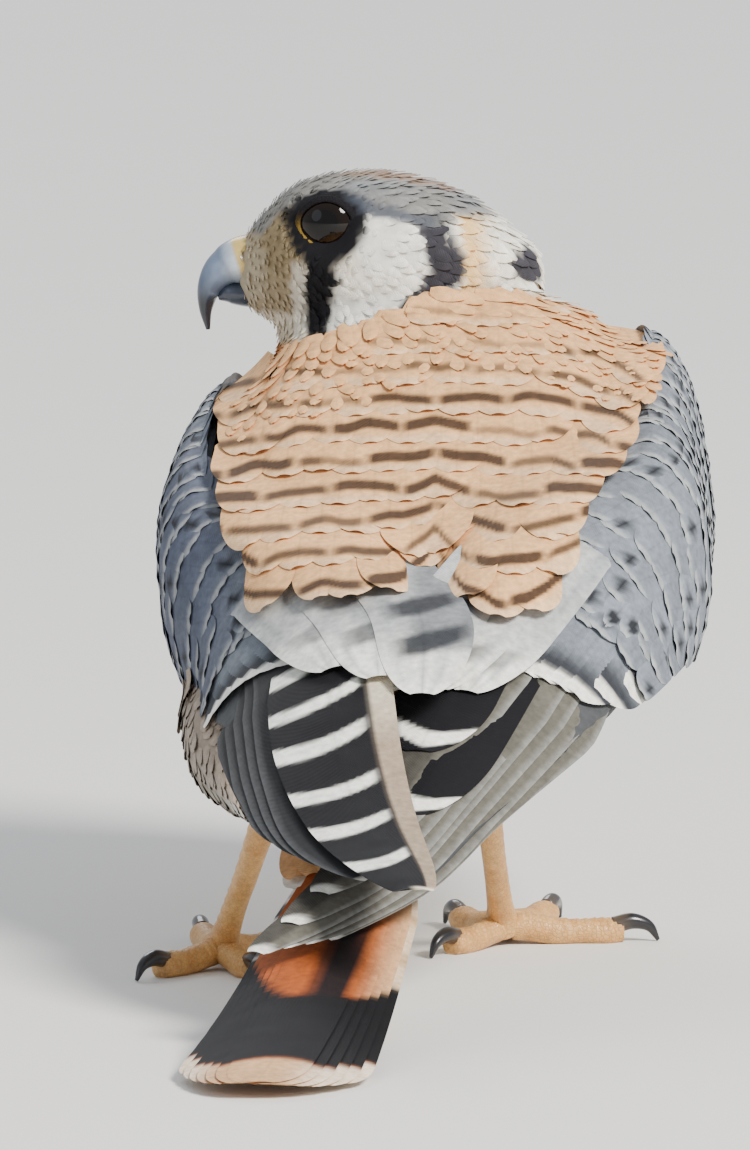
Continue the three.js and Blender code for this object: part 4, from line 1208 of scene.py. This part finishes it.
def head_colour(points):
    """The face and crown of a male: grey crown, two black stripes, white cheek and buff nape."""
    s, a, h = head_coordinates(points + 0.55 * np.stack([cloud(points, 1.6, k) for k in (1, 2, 3)], -1))
    across = np.abs(a)
    colour = np.broadcast_to(WHITE, points.shape).copy()
    colour = paint(colour, mix(WHITE, CREAM, 0.8), smooth(s, 3, 7) * smooth(h, -4, 3))
    lores = smooth(s, 11.6, 13.4) * smooth(h, -8.5, -5.5)
    colour = paint(colour, OLIVE, lores * 0.85)
    colour = paint(colour, mix(OLIVE, CREAM, 0.55), smooth(s, 17.5, 20) * smooth(h, -6, -3) * 0.7)
    colour = paint(colour, mix(CREAM, OLIVE, 0.25), smooth(s, 10, 12) * smooth(h, -5.5, -8.5))
    nape = smooth(s, -9.2, -10.8)
    warm = mix(shade("f3cb8c"), mix(CREAM, WHITE, 0.6), smooth(s, -11.5, -16)[..., None])
    colour = paint(colour, warm, nape)
    for table, tint, fits in ((EAR_STRIPE, DUSK, smooth(across, 3, 6) * smooth(h, -7.4, -6.4)),
                              (MOUSTACHE, BLACK, smooth(across, 3.5, 5.5) * smooth(h, -10.4, -9))):
        centre, half = np.moveaxis(spline(table, h), -1, 0)
        colour = paint(colour, tint, smooth(np.abs(s - centre), half + 0.5, half - 0.5) * fits)
    line = spline(CROWN_LINE, s)[..., 0]
    crown = smooth(h - line, -0.6, 0.6)
    top = mix(CROWN, shade("8f8b82"), (0.5 + 0.5 * cloud(points, 6, 7))[..., None])
    rufous = smooth(np.hypot((s + 2) / 9.5, across / 5.2), 1.05, 0.75) * 0.35
    colour = paint(colour, paint(top, RUFOUS_DEEP, rufous), crown)
    for eye in EYES:
        aside, out = eye_distance(points, eye)
        colour = paint(colour, BLACK, smooth(aside, 6.8, 5.6) * (out > 0) * smooth(h - line, 2.4, 1.2))
    streak = smooth(np.abs(h - 8.3 + 0.12 * (s - 12)), 1.6, 0.8) * smooth(s, 8, 10) * smooth(s, 16.2, 14.5)
    colour = paint(colour, BLACK, streak * smooth(across, 4, 6) * 0.9)
    spot = smooth(np.hypot((s + 20.2) / 2.6, (h + 1.2) / 2.9), 1.1, 0.8) * smooth(across, 2.5, 4)
    colour = paint(colour, DUSK, spot)
    brow = smooth(np.abs(h - line - 0.7), 1.2, 0.4) * smooth(s, -9, -6) * smooth(s, 7, 4)
    colour = paint(colour, shade("4c525e"), brow * smooth(across, 5, 8) * 0.8)
    pale = smooth(np.abs(s - 13.9), 1.3, 0.5) * smooth(h, 2.5, 0) * smooth(across, 3, 5)
    return paint(colour, mix(WHITE, CREAM, 0.5), pale * 0.7)


def thigh_distance(points, side):
    """How far points lie from a thigh's middle line."""
    line = catmull(LEGS[side]["thigh"], np.linspace(0, 1, 12))
    return np.linalg.norm(points[..., None, :] - line, axis=-1).min(-1)


def torso_centre(points):
    z, _, _, _, _, x = np.moveaxis(spline(TORSO, points[..., 1]), -1, 0)
    return vec3(x, points[..., 1], z)


def torso_angle(points):
    """Degrees round the torso's centre line from straight up, positive on the bird's right."""
    off = points - torso_centre(points)
    return np.degrees(np.arctan2(off[..., 0], off[..., 2]))


def body_colour(points):
    """Sandy rufous above, buff breast, cream belly, painted grey shade on the left thigh, white under the
    tail.
    """
    degrees = np.abs(torso_angle(points))
    y = points[..., 1]
    belly = mix(CREAM, mix(BUFF, RUFOUS, 0.35), smooth(y, 22, 52)[..., None])
    belly = mix(belly, WHITE, smooth(y, -22, -42)[..., None])
    colour = mix(RUFOUS, belly, smooth(degrees, 96, 116)[..., None])
    rump = smooth(y, -22, -34) * smooth(degrees, 100, 84)
    colour = paint(colour, mix(RUFOUS, RUFOUS_DEEP, 0.6), rump)
    # painted shade: the left thigh only, greyer and darker
    thigh = smooth(thigh_distance(points, "left"), 19, 13) * smooth(y, -46, -30)
    thigh = thigh * smooth(points[..., 0], -8, -16)
    return paint(colour, mix(BUFF, GREY, 0.75) * 0.8, thigh * 0.85)


def skin_colour(points):
    """The bird's colours anywhere: the head's above the collar, the body's below it."""
    on_head = smooth(points[..., 2] - (collar(points[..., 0]) - 5.3) / 0.99, -0.9, 0.1)
    on_head = np.maximum(on_head, smooth(points[..., 1], 57, 61) * smooth(points[..., 2], 82, 85))
    on_head = on_head * np.maximum(smooth(points[..., 0], 21, 15), smooth(points[..., 2], 90, 92))
    colour = mix(body_colour(points), head_colour(points), on_head[..., None])
    return colour * (1 + 0.07 * cloud(points, 2.2, 12))[..., None]


add_piece("skin", skin_points, skin_faces, skin_colour(skin_points) * 0.8, SKIN, "mantle",
          "torso", "neck", "head", "thigh_left", "thigh_right")

# The small feathers


def lie(points, normals):
    """The way the small feathers lie: back over the head, down the neck, back along the body."""
    z = points[..., 2]
    body = np.array([0.0, -1, -0.55])
    down = np.array([0.25, -0.35, -1])
    back = np.array([0, 0, -0.35]) - FORWARD
    on_neck = smooth(z, 76, 86)[..., None]
    on_head = smooth(z, 86, 93)[..., None]
    way = mix(mix(body, down, on_neck), back, on_head)
    for eye in EYES:
        centre, axis = EYES[eye]
        aside, out = eye_distance(points, eye)
        away = points - centre
        away = away - (away @ axis)[..., None] * axis
        share = smooth(aside, 8.5, 5) * (out > 0) * 0.9
        way = mix(way, unit(away), share[..., None])
    return unit(way)


def thigh_lie(side):
    line = np.array(LEGS[side]["thigh"], float)
    way = unit(line[-1] - line[1] + np.array([0, 0, -8.0]))
    return lambda points, normals: np.broadcast_to(way, points.shape)


def under_wing(points, margin):
    """Where a folded wing hides the body."""
    angle = torso_angle(points) - ROLL
    lead, inner = np.moveaxis(spline(WING_FRONT, points[..., 1])[..., :2], -1, 0)
    hidden = (np.abs(angle) > inner + margin) & (np.abs(angle) < lead - margin)
    return hidden & (points[..., 1] > -64) & (points[..., 1] < 53) & (points[..., 2] < 88)


def in_mantle(points, margin=0.0):
    """Where the rows of back feathers lie."""
    angle = torso_angle(points) - ROLL
    return ((np.abs(angle) < 62 - margin) & (points[..., 1] < 34 - margin) & (points[..., 1] > -34)
            & (points[..., 2] < 90))


def head_gap(points):
    """The distance between the roots of the head's feathers, 0 where none grow."""
    s, _, _ = head_coordinates(points)
    inside = (points[..., 2] > 80) & (np.abs(s) < 26)
    gap = np.interp(s, [-22, -8, 6, 14, 20], [1.75, 1.5, 1.15, 0.95, 0.85])
    gap = np.where(inside, gap, 0)
    for eye in EYES:
        aside, out = eye_distance(points, eye)
        gap = np.where((aside < 4.7) & (out > 0), 0, gap)
    bill = np.linalg.norm(points - head_place(20.5, 0, 0.2), axis=-1)
    return np.where(bill < 3.6, 0, gap)


def body_gap(points):
    """The distance between the roots of the body's feathers, 0 where none grow."""
    spots, _ = BED.nearest(points)
    off_skin = np.linalg.norm(points - spots, axis=-1)
    reach = np.interp(points[..., 1], [46, 54], [2.4, 1.3])
    gap = np.where((points[..., 2] <= 80) & (off_skin < reach), 2.0, 0)
    gap = np.where(under_wing(points, 3) | in_mantle(points, 8), 0, gap)
    hidden = (points[..., 1] < 8) & (points @ TORSO_UP > spline(TORSO, points[..., 1])[..., 0] - 1)
    gap = np.where(hidden, 0, gap)
    gap = np.where((thigh_distance(points, "left") < 12) & (points[..., 2] < 44) & (points[..., 1] < 22)
                   & (points[..., 0] < -16), 0, gap)
    return np.where(points[..., 1] < -58, 0, gap)


def round_map(centre):
    """Places on a map of the skin, from its angles about a centre."""
    def place(points):
        off = unit(points - centre)
        u = 0.5 + np.arctan2(off[..., 0], off[..., 1]) / (2 * np.pi)
        v = np.arccos(np.clip(off[..., 2], -1, 1)) / np.pi
        return np.stack([0.01 + 0.975 * u, 0.01 + 0.975 * v], -1)
    return place


def long_map(points):
    """Places on a map of the body's skin, from the place along it and the angle round it."""
    u = 0.5 + torso_angle(points) / 360
    return np.stack([0.01 + 0.975 * u, 0.01 + 0.975 * (points[..., 1] + 66) / 142], -1)


def build_head_feathers():
    """Short feathers over head and nape, shortest round the eyes and the bill."""
    roots, normals = BED.scatter(head_gap, 3)
    s, _, _ = head_coordinates(roots)
    length = np.interp(s, [-22, -8, 6, 14, 20], [5.4, 4.6, 3.5, 2.6, 2.0]) * rng.uniform(0.85, 1.15, len(s))
    width = length * np.interp(s, [-22, 6, 20], [0.42, 0.4, 0.42])
    lift = np.interp(s, [-22, 6, 20], [0.8, 0.65, 0.45])
    near = np.minimum(*(eye_distance(roots, eye)[0] + 20 * (eye_distance(roots, eye)[1] < 0) for eye in EYES))
    length = np.where(near < 7.5, np.minimum(length, 2.1), length)
    lift = np.where(near < 7, 0.45, lift)

    def colour(T, U, number, top):
        at = mix(roots[number], top, 0.75)
        return soft_tip(skin_colour(at), T, U)

    coat = Plumage()
    lay_on_bed(coat, BED, roots, normals, lie, length, width, lift, colour,
               round_map(np.array([-6.0, 50, 90])), rows=5, sink=0.35, jitter=0.16, camber=0.1, thick=0.12,
               blunt=0.4)
    coat.build("head_feathers", "crown")


def build_body_feathers():
    """Feathers over breast, belly and flanks, some of the flank ones spotted."""
    roots, normals = WHOLE.scatter(body_gap, 5)
    z, y = roots[:, 2], roots[:, 1]
    length = np.interp(y, [-60, -30, 40, 70], [12, 10.5, 8.2, 6.8]) * rng.uniform(0.85, 1.15, len(z))
    width = length * 0.46
    flank = (np.abs(roots[:, 0]) > 12) & (z < 58) & (y < 44) & (y > -34)
    spotted = flank & (rng.random(len(z)) < 0.34)

    def colour(T, U, number, top):
        base = skin_colour(mix(roots[number], top, 0.35))
        spot = smooth(np.hypot((T - 0.74) / 0.15, U / 0.5), 1.15, 0.7) * spotted[number]
        return soft_tip(paint(base, BLACK, spot * 0.9), T, U)

    coat = Plumage()
    lift = np.interp(y, [-30, 10, 30], [0.4, 0.6, 0.8])
    lay_on_bed(coat, WHOLE, roots, normals, lie, length, width, lift, colour, long_map, rows=7, columns=5,
               sink=0.5, jitter=0.14, thick=0.12)
    coat.build("body_feathers", "pale")


def build_tail_coverts():
    """Rows over and under the tail's root, from the body's end on, each higher row further forward."""
    coverts = Plumage()

    def rufous(T, U, S, L, number, top):
        return soft_tip(even(mix(RUFOUS, RUFOUS_DEEP, 0.5), T), T, U)

    def pale(T, U, S, L, number, top):
        return soft_tip(even(mix(WHITE, CREAM, 0.4), T), T, U)

    for side, colour, layers in (
            ("tail", rufous, ((-53, -75, 5.4, 1.6), (-49, -69, 7.4, 3.2))),
            ("under", pale, ((-53, -76, 4.4, 1.6), (-49, -70, 4.4, 2.8), (-45, -64, 4.0, 4.2)))):
        for root, tip, low, high in layers:
            rows = [[place * 0.95, root + 2 * abs(place), place * 0.85, tip + 5 * abs(place), 0, 7.5,
                     low - 3.4 * place**2, high - 1.2 * place**2] for place in np.linspace(-1, 1, 7)]
            lay_in_wing(coverts, side, tail_surface, rows, colour, rows=20, columns=7, thick=0.16, rise=1,
                        blunt=0.5)

    def rump_gap(points):
        angle = (points - torso_centre(points)) @ TORSO_UP
        return np.where((points[..., 1] < -14) & (points[..., 1] > -56) & (angle > -1.5), 2.2, 0)

    def rump_colour(T, U, number, top):
        return soft_tip(skin_colour(mix(roots[number], top, 0.5)), T, U)

    roots, normals = BED.scatter(rump_gap, 19)
    lay_on_bed(coverts, BED, roots, normals, lie, 9.5, 4.4, 0.9, rump_colour, long_map, rows=7, columns=5,
               sink=0.3, jitter=0.1, thick=0.12)
    coverts.build("tail_coverts", "mantle")


def build_thigh_feathers():
    """Loose narrow feathers down both thighs."""
    coat = Plumage()
    for side in ("left", "right"):
        def gap(points):
            return np.where((thigh_distance(points, side) < 12.6) & (points[..., 2] < 48), 1.9, 0)

        roots, normals = BED.scatter(gap, 8)
        length = rng.uniform(6.5, 9, len(roots))

        def colour(T, U, number, top):
            return soft_tip(skin_colour(mix(roots[number], top, 0.5)), T, U)

        shift = np.array([0, 0.5]) if side == "left" else np.array([0, 0])

        def place(points):
            middle = np.array(LEGS[side]["thigh"], float).mean(0)
            return round_map(middle)(points) * [1, 0.5] + shift

        lay_on_bed(coat, BED, roots, normals, thigh_lie(side), length, length * 0.36, 0.4, colour, place,
                   rows=7, columns=5, sink=0.4, jitter=0.12, thick=0.1, blunt=0.4)
    coat.build("thigh_feathers", "pale")


# The rows of the back, laid where the camera's angle shows them: across by X, down by this height

BACK_TILT = math.radians(8)
VIEW = np.array([0, math.cos(BACK_TILT), -math.sin(BACK_TILT)])
HIGH = np.array([0, math.sin(BACK_TILT), math.cos(BACK_TILT)])
ROW_GAP = 4.35
COLUMN_GAP = 5.4
MANTLE_END = np.array([  # X, height of the last row's tips
    [-32, 54], [-26.8, 50.7], [-15, 51], [-5, 51.6], [-1.6, 54.6], [-0.3, 56.6], [1.4, 53.6], [4, 50.6],
    [8.5, 48.1], [13, 48.4], [16, 49.6], [18.8, 52.2], [22, 55.5], [27, 60], [33, 66],
])
BACK_EDGES = [np.array(rows) for rows in (  # height, furthest X of the back feathers, left and right
    [[50, -24.5], [58, -26.5], [66, -29.4], [76, -28.6], [85, -27.5], [90, -25], [94, -20], [98, -13]],
    [[50, 13], [57, 16], [62, 19.5], [71, 23.8], [80, 27.5], [88, 29], [94, 24], [98, 13]],
)]


def seen(bed, x, height):
    """The point of a bed that is seen at that place, and its normal."""
    start = np.array([x, 0, 0]) + HIGH * height - VIEW * 300
    spot, _, face, _ = bed.tree.ray_cast(start.tolist(), VIEW.tolist())
    if spot is None:
        return None
    spot = np.array(spot)
    return spot, bed.blend(np.array([face]), spot[None])[0]


def neighbours(grid, combine):
    """Each cell of a grid from itself and its eight neighbours."""
    wide = np.pad(grid, 1, mode="edge")
    rows, columns = grid.shape
    return combine([wide[i:i + rows, j:j + columns] for i in range(3) for j in range(3)])


def back_sheet():
    """A smooth sheet over the back and the wings' inner parts, bridging the gaps between them."""
    across, heights = np.arange(-40, 41, 1.6), np.arange(36, 102, 1.6)
    depth = np.full((len(heights), len(across)), 60.0)
    for i, height in enumerate(heights):
        for j, x in enumerate(across):
            found = seen(WHOLE, x, height)
            if found is not None:
                depth[i, j] = found[0] @ VIEW
    depth = neighbours(depth, lambda cells: np.min(cells, axis=0))
    for _ in range(5):
        depth = neighbours(depth, lambda cells: np.mean(cells, axis=0))
    depth = depth + 1.1 * smooth(np.abs(across), 22, 33)
    x, height = np.meshgrid(across, heights)
    points = x[..., None] * np.array([1.0, 0, 0]) + height[..., None] * HIGH + depth[..., None] * VIEW
    index = np.arange(x.size).reshape(x.shape)
    faces = np.stack([index[:-1, :-1], index[:-1, 1:], index[1:, 1:], index[1:, :-1]], -1).reshape(-1, 4)
    return Bed(points.reshape(-1, 3), [list(f) for f in faces])


def mantle_edges(height):
    """The furthest X of the back feathers on each side at a height."""
    return [np.interp(height, *edge.T) for edge in BACK_EDGES]


def row_height(x, k):
    """The height of the tips in the row with that number, counted from the last one up."""
    end = np.interp(x, MANTLE_END[:, 0], MANTLE_END[:, 1])
    share = np.exp(-k / 2.2)
    droop = (0.02 * np.maximum(0, x - 13) ** 2 * (1 - share) + 0.006 * np.maximum(0, -x - 12) ** 2)
    return mix(52.2, end, share) + ROW_GAP * k - droop


def mantle_colour(x, height, k):
    """Sandy rufous with black bars near each row's tips, faint over the nape."""
    at = np.stack([x, height, k * 9.0], -1)
    base = np.broadcast_to(RUFOUS, at.shape) * (1 + 0.08 * cloud(at, 5, 21))[..., None]
    above = height - row_height(x, k)
    base = paint(base, mix(BUFF, WHITE, 0.2), smooth(above, 1.6, 0.6) * 0.5)
    segment = (x + 5.2 * (k % 2)) / 10.4
    number = np.floor(segment)
    part = segment - number - 0.5
    draw = lattice(np.stack([number, k, number * 0], -1), 4)
    wave = cloud(np.stack([x * 0.3, x * 0, k * 3.7], -1), 1.0, 6)
    line = 2.35 + 0.8 * (draw - 0.5) - 1.8 * part**2 + 0.6 * wave
    strong = np.interp(k, [0, 4, 8, 11], [1.4, 1.15, 0.65, 0.15]) * (0.6 + 0.6 * draw)
    strong = np.where(np.abs(x) > 17, np.maximum(strong, 0.9), strong)
    half = 0.26 + 0.38 * np.minimum(strong, 1.2)
    bar = smooth(np.abs(above - line), half + 0.45, half - 0.35) * smooth(np.abs(part), 0.58, 0.36)
    return paint(base, mix(BLACK, RUFOUS_DEEP, 0.08), np.minimum(bar * strong, 0.96))


def build_mantle():
    """Rows of barred feathers over the back, the lowest laid last, and small ones under the collar."""
    sheet = back_sheet()
    roots, normals, ends, data = [], [], [], []
    for k in range(12, -1, -1):
        left, right = mantle_edges(row_height(np.array([-25, 20]), k))
        left, right = left[0], right[1]
        inner = np.arange(-34 + (COLUMN_GAP / 2 if k % 2 else 0), 35, COLUMN_GAP)
        inner = inner[(inner > left + COLUMN_GAP * 0.4) & (inner < right - COLUMN_GAP * 0.4)]
        for x in [left, right, *(inner + rng.normal(0, 0.35, len(inner)))]:
            height = row_height(x, k) + rng.normal(0, 0.22)
            top = collar(x) + 0.5
            if height > top - 5:
                continue
            tip = seen(sheet, x, height)
            bare = seen(WHOLE, x * 1.02, height)
            if bare is None or (bare[0] - tip[0]) @ VIEW > 12:
                continue
            root = seen(sheet, x * 0.965 + 0.1, min(height + 2.35 * ROW_GAP, top))
            roots.append(root[0])
            normals.append(root[1])
            ends.append(tip[0])
            data.append([np.linalg.norm(tip[0] - root[0]), k])
    roots, normals, ends, data = (np.array(v) for v in (roots, normals, ends, data))
    length, k = data.T
    ways = ends - roots

    def heading(points, normals):
        return unit(ends - points + ways * 0.15)

    def colour(T, U, number, top):
        base = mantle_colour(top[..., 0], top @ HIGH, k[number])
        return base * (0.92 + 0.12 * T)[..., None]

    coat = Plumage()
    notch = smooth(np.abs(ends[:, 0] + 1), 8, 5) * (k < 2)
    lift = 0.6 + 0.7 * notch + rng.normal(0, 0.06, len(k))
    lay_on_bed(coat, sheet, roots, normals, heading, length * 1.02, COLUMN_GAP * 1.75, lift, colour,
               long_map, rows=34, columns=15, sink=0.35, jitter=0.07, blunt=0.6, camber=0.3, thick=0.1)

    def collar_gap(points):
        height = points @ HIGH
        under = collar(points[..., 0]) - height
        left, right = mantle_edges(height)
        fits = (under > -0.8) & (under < 9) & (points[..., 0] > left - 1) & (points[..., 0] < right + 3.5)
        return np.where(fits, 1.9, 0)

    roots, normals = sheet.scatter(collar_gap, 13)
    bare = [seen(WHOLE, root[0] * 1.02, root @ HIGH) for root in roots]
    fits = [b is not None and (b[0] - root) @ VIEW < 9 for b, root in zip(bare, roots)]
    roots, normals = roots[fits], normals[fits]

    def small_colour(T, U, number, top):
        return soft_tip(np.broadcast_to(RUFOUS, top.shape), T, U) * (1 + 0.1 * cloud(top, 3, 8))[..., None]

    lay_on_bed(coat, sheet, roots, normals, lie, rng.uniform(5, 6.8, len(roots)), 2.5, 0.75, small_colour,
               long_map, rows=7, columns=5, sink=0.1, jitter=0.15, thick=0.08, blunt=0.3)
    coat.build("mantle_feathers", "mantle")


build_head_feathers()
build_body_feathers()
build_tail_coverts()
build_thigh_feathers()
build_mantle()

# Eyes, bill, legs and claws


def eyeball(side):
    """A glossy ball with its pupil and dark iris."""
    centre, axis = EYES[side]
    aside = unit(np.cross(axis, UP))
    up = np.cross(aside, axis)
    rings = []
    around = 48
    turn = np.arange(around) / around * 2 * np.pi
    angles = np.concatenate([np.linspace(0.03, 1.0, 22), np.linspace(1.08, 3.1, 16)])
    for angle in angles:
        ring = (axis * math.cos(angle) + math.sin(angle) * (aside * np.cos(turn)[:, None]
                                                            + up * np.sin(turn)[:, None]))
        rings.append(centre + ring * EYE["radius"] * (1 - 0.3 * smooth(angle, 0.8, 1.25)))
    points, faces = loft(rings)
    off = np.arccos(np.clip(unit(points - centre) @ axis, -1, 1))
    iris = mix(shade("0b0604"), shade("140b06"), smooth(off, 0.3, 0.62)[:, None])
    colour = paint(iris, shade("050404"), smooth(off, 0.40, 0.36))
    colour = paint(colour, shade("120c0a"), smooth(off, 0.66, 0.74))
    add_piece(f"eyeball_{side}", points, faces, colour, EYE_GLOSS, "eye", f"eye_{side}")


def eyelids(side):
    """A rippled rim round the eye, yellow where it faces the bill."""
    centre, axis = EYES[side]
    front = unit(FORWARD - axis * (FORWARD @ axis))
    up = np.cross(front, axis) * (-1 if side == "right" else 1)
    around, sides = 64, 14
    turn = np.arange(around) / around * 2 * np.pi
    pinch = np.maximum(0, np.cos(turn)) ** 6 * 0.6 + np.maximum(0, -np.cos(turn)) ** 8 * 0.3
    reach = 3.72 + pinch - 0.28 * np.maximum(0, np.sin(turn)) ** 2
    rings = []
    colours = []
    for i in range(around):
        way = front * math.cos(turn[i]) + up * math.sin(turn[i])
        rim = EYE["radius"] + 0.2
        middle = centre + way * reach[i] + axis * math.sqrt(rim**2 - reach[i] ** 2)
        outward = unit(middle - centre)
        aside = unit(way - outward * (way @ outward))
        tube = np.arange(sides) / sides * 2 * np.pi
        ripple = 1 + 0.06 * math.sin(turn[i] * 26)
        rings.append(middle + (aside * (0.6 * np.cos(tube))[:, None] + aside * 0.25
                               + outward * (0.34 * ripple * np.sin(tube))[:, None]))
        yellow = 0.75 * max(0, way @ unit(FORWARD - 0.6 * UP)) ** 6
        colours.append(np.broadcast_to(mix(DUSK * 0.28, shade("b0903a"), yellow), (sides, 3)))
    rings = np.array(rings)
    a = np.arange(around)[:, None] * sides + np.arange(sides)
    b = np.arange(around)[:, None] * sides + (np.arange(sides) + 1) % sides
    count = around * sides
    faces = np.stack([a, b, (b + sides) % count, (a + sides) % count], -1).reshape(-1, 4)
    if side == "right":
        faces = faces[:, ::-1]
    add_piece(f"eyelids_{side}", rings.reshape(-1, 3), faces, np.concatenate(colours), LID_SKIN, "leg")


def build_bill():
    """A notched and hooked upper half with its cere and nostrils, and a lower half."""

    def upper_relief(t, angle):
        cere = 1 + 0.07 * smooth(np.array(t), 0.36, 0.31)
        ridge = 0.06 * np.maximum(0, np.cos(angle)) ** 6
        tooth = 0.22 * np.exp(-((t - 0.66) / 0.035) ** 2)
        tooth = tooth * np.exp(-((np.abs(np.sin(angle)) - 0.75) / 0.25) ** 2)
        return (cere + ridge) * (1 + tooth * (np.cos(angle) < 0))

    for name, line, radii, wide, relief in (
            ("bill_upper", BILL_UPPER, [3.4, 3.2, 2.6, 1.8, 1, 0.3], 1.1, upper_relief),
            ("bill_lower", BILL_LOWER, [2.1, 2.1, 1.7, 0.7], 1.3, None)):
        line = [head_place(s, 0, h) for s, h in line]
        points, faces = loft(rod(line, radii, 32, 60, wide, relief))
        s, a, h = head_coordinates(points)
        tip = smooth(np.linalg.norm(points - line[-1], axis=-1), 9.5, 3.8)
        pale = smooth(s, 25.5, 22.5) * smooth(h, -3.5, 1.0)
        colour = mix(shade("6d7c94"), shade("bfc9d3"), pale[:, None])
        colour = paint(colour, shade("20242d"), tip)
        if name == "bill_upper":
            cere = smooth(s - 0.25 * h, 22.6, 21.9)
            colour = paint(colour, shade("c4aa62"), cere)
            nostril = smooth(np.hypot(s - 21.2, h - 2.0), 1.0, 0.5) * smooth(np.abs(a), 2.0, 2.8)
            points = points - LEFT * (np.sign(a) * 0.5 * nostril)[:, None]
            colour = paint(colour, shade("17120e"), nostril)
        else:
            colour = paint(colour, shade("353d4e"), smooth(s, 19.5, 21.5) * 0.7)
            colour = paint(colour, shade("c0a055"), smooth(s, 20.5, 19))
        add_piece(name + "_horn", points, faces, colour, BILL_HORN, "bill", name)


def scutes(count, depth):
    """Overlapping plates along the upper side of a leg or toe."""
    def relief(t, angle):
        saw = (t * count) % 1
        upper = smooth(np.cos(angle), -0.1, 0.5)
        pad = 0.07 * np.cos(t * count * 1.2) * smooth(-np.cos(angle), 0.2, 0.8)
        return 1 + depth * (saw - 0.5) * upper + pad
    return relief


def build_leg(side):
    """A scaled tarsus with its toes and claws."""
    foot = np.array(LEGS[side]["foot"], float)
    top = np.array(LEGS[side]["thigh"][-1], float)
    r = TARSUS_RADIUS
    line = [top, mix(top, foot, 0.5), mix(foot, top, 0.12), foot + np.array([0, 0, -0.6])]

    def leg_colour(points):
        tone = cloud(points, 2.0, 31)
        return mix(shade("dfb274"), shade("cf9a5c"), (0.5 + 0.5 * tone)[:, None])

    points, faces = loft(rod(line, [r * 1.25, r, r * 1.1, r * 1.5], 28, 110, 1.0, scutes(16, 0.09)))
    points[:, 2] = np.maximum(points[:, 2], 0)
    add_piece(f"tarsus_skin_{side}", points, faces, leg_colour(points), LEG_SKIN, "leg", f"tarsus_{side}")
    level = TOE_RADIUS - FLOOR_FLAT
    for name, (turn, length) in TOES[side].items():
        way = np.array([math.sin(math.radians(turn)), math.cos(math.radians(turn)), 0])

        def at(share, z, ahead=0.0):
            return np.array([foot[0], foot[1], z]) + way * (length * share + ahead)

        line = [at(share, level + rise) for share, rise in TOE_LINE]
        radii = [TOE_RADIUS * part for part in TOE_SHAPE]
        points, faces = loft(rod(line, radii, 26, 84, 1.0, scutes(length / 1.35, 0.1)))
        points[:, 2] = np.maximum(points[:, 2], 0)
        add_piece(f"toe_skin_{name}_{side}", points, faces, leg_colour(points), LEG_SKIN, "leg",
                  f"toe_{name}_{side}")
        line = [at(1, level + rise, ahead) for ahead, rise in CLAW_LINE]
        line.append(at(1, CLAW_TIP[1], CLAW_TIP[0]))
        points, faces = loft(rod(line, CLAW_RADII, 20, 36))
        points[:, 2] = np.maximum(points[:, 2], 0)
        near = smooth(np.linalg.norm(points - line[0], axis=-1), 3.5, 1.5)
        colour = paint(np.broadcast_to(shade("1d1c20"), points.shape), shade("4a4038"), near)
        add_piece(f"claw_horn_{name}_{side}", points, faces, colour, CLAW_HORN, "claw", f"claw_{name}_{side}")


for side in ("left", "right"):
    eyeball(side)
    eyelids(side)
    build_leg(side)
build_bill()

# Stage

FLOOR_SIZE = 4.0
CAMERA = dict(target=(-9.1, 0, 55), elevation=7.6, distance=4.0, lens=851.6, far=20)
LAMP_TARGET = (0, -0.02, 0.05)
LAMPS = {  # place, size, power, colour
    "key": ((1.35, -1.35, 1.7), 0.85, 122, (1.0, 0.96, 0.9)),
    "fill": ((-1.8, -1.2, 0.9), 1.4, 5, (0.8, 0.88, 1.0)),
    "back": ((-0.4, 1.8, 1.5), 1.0, 14, (0.95, 0.97, 1.0)),
}
AMBIENT = dict(colour=(0.86, 0.9, 0.95, 1), power=0.68)


def plain_floor():
    size = FLOOR_SIZE
    mesh = bpy.data.meshes.new("floor")
    mesh.from_pydata([(-size, -size, 0), (size, -size, 0), (size, size, 0), (-size, size, 0)], [],
                     [(0, 1, 2, 3)])
    floor = bpy.data.objects.new("floor", mesh)
    bpy.context.scene.collection.objects.link(floor)
    floor.data.materials.append(floor_material())


def lamp(name, place, size, power, colour):
    data = bpy.data.lights.new(name, "AREA")
    data.shape = "DISK"
    data.size = size
    data.energy = power
    data.color = colour
    light = bpy.data.objects.new(name, data)
    light.location = place
    light.rotation_mode = "QUATERNION"
    light.rotation_quaternion = (Vector(LAMP_TARGET) - Vector(place)).to_track_quat("-Z", "Y")
    bpy.context.scene.collection.objects.link(light)


def studio():
    for name, values in LAMPS.items():
        lamp(name, *values)
    world = bpy.data.worlds.new("studio")
    world.use_nodes = True
    background = world.node_tree.nodes["Background"]
    background.inputs[0].default_value = AMBIENT["colour"]
    background.inputs[1].default_value = AMBIENT["power"]
    bpy.context.scene.world = world


def camera():
    """At the photo's angle, from as far off as its flat perspective asks for."""
    elevation = math.radians(CAMERA["elevation"])
    data = bpy.data.cameras.new("camera")
    data.lens = CAMERA["lens"]
    data.clip_end = CAMERA["far"]
    cam = bpy.data.objects.new("camera", data)
    back = Vector((0, -math.cos(elevation), math.sin(elevation)))
    cam.location = Vector(to_part(CAMERA["target"])) + back * CAMERA["distance"]
    cam.rotation_mode = "QUATERNION"
    cam.rotation_quaternion = (-back).to_track_quat("-Z", "Y")
    bpy.context.scene.collection.objects.link(cam)
    bpy.context.scene.camera = cam


plain_floor()
studio()
camera()
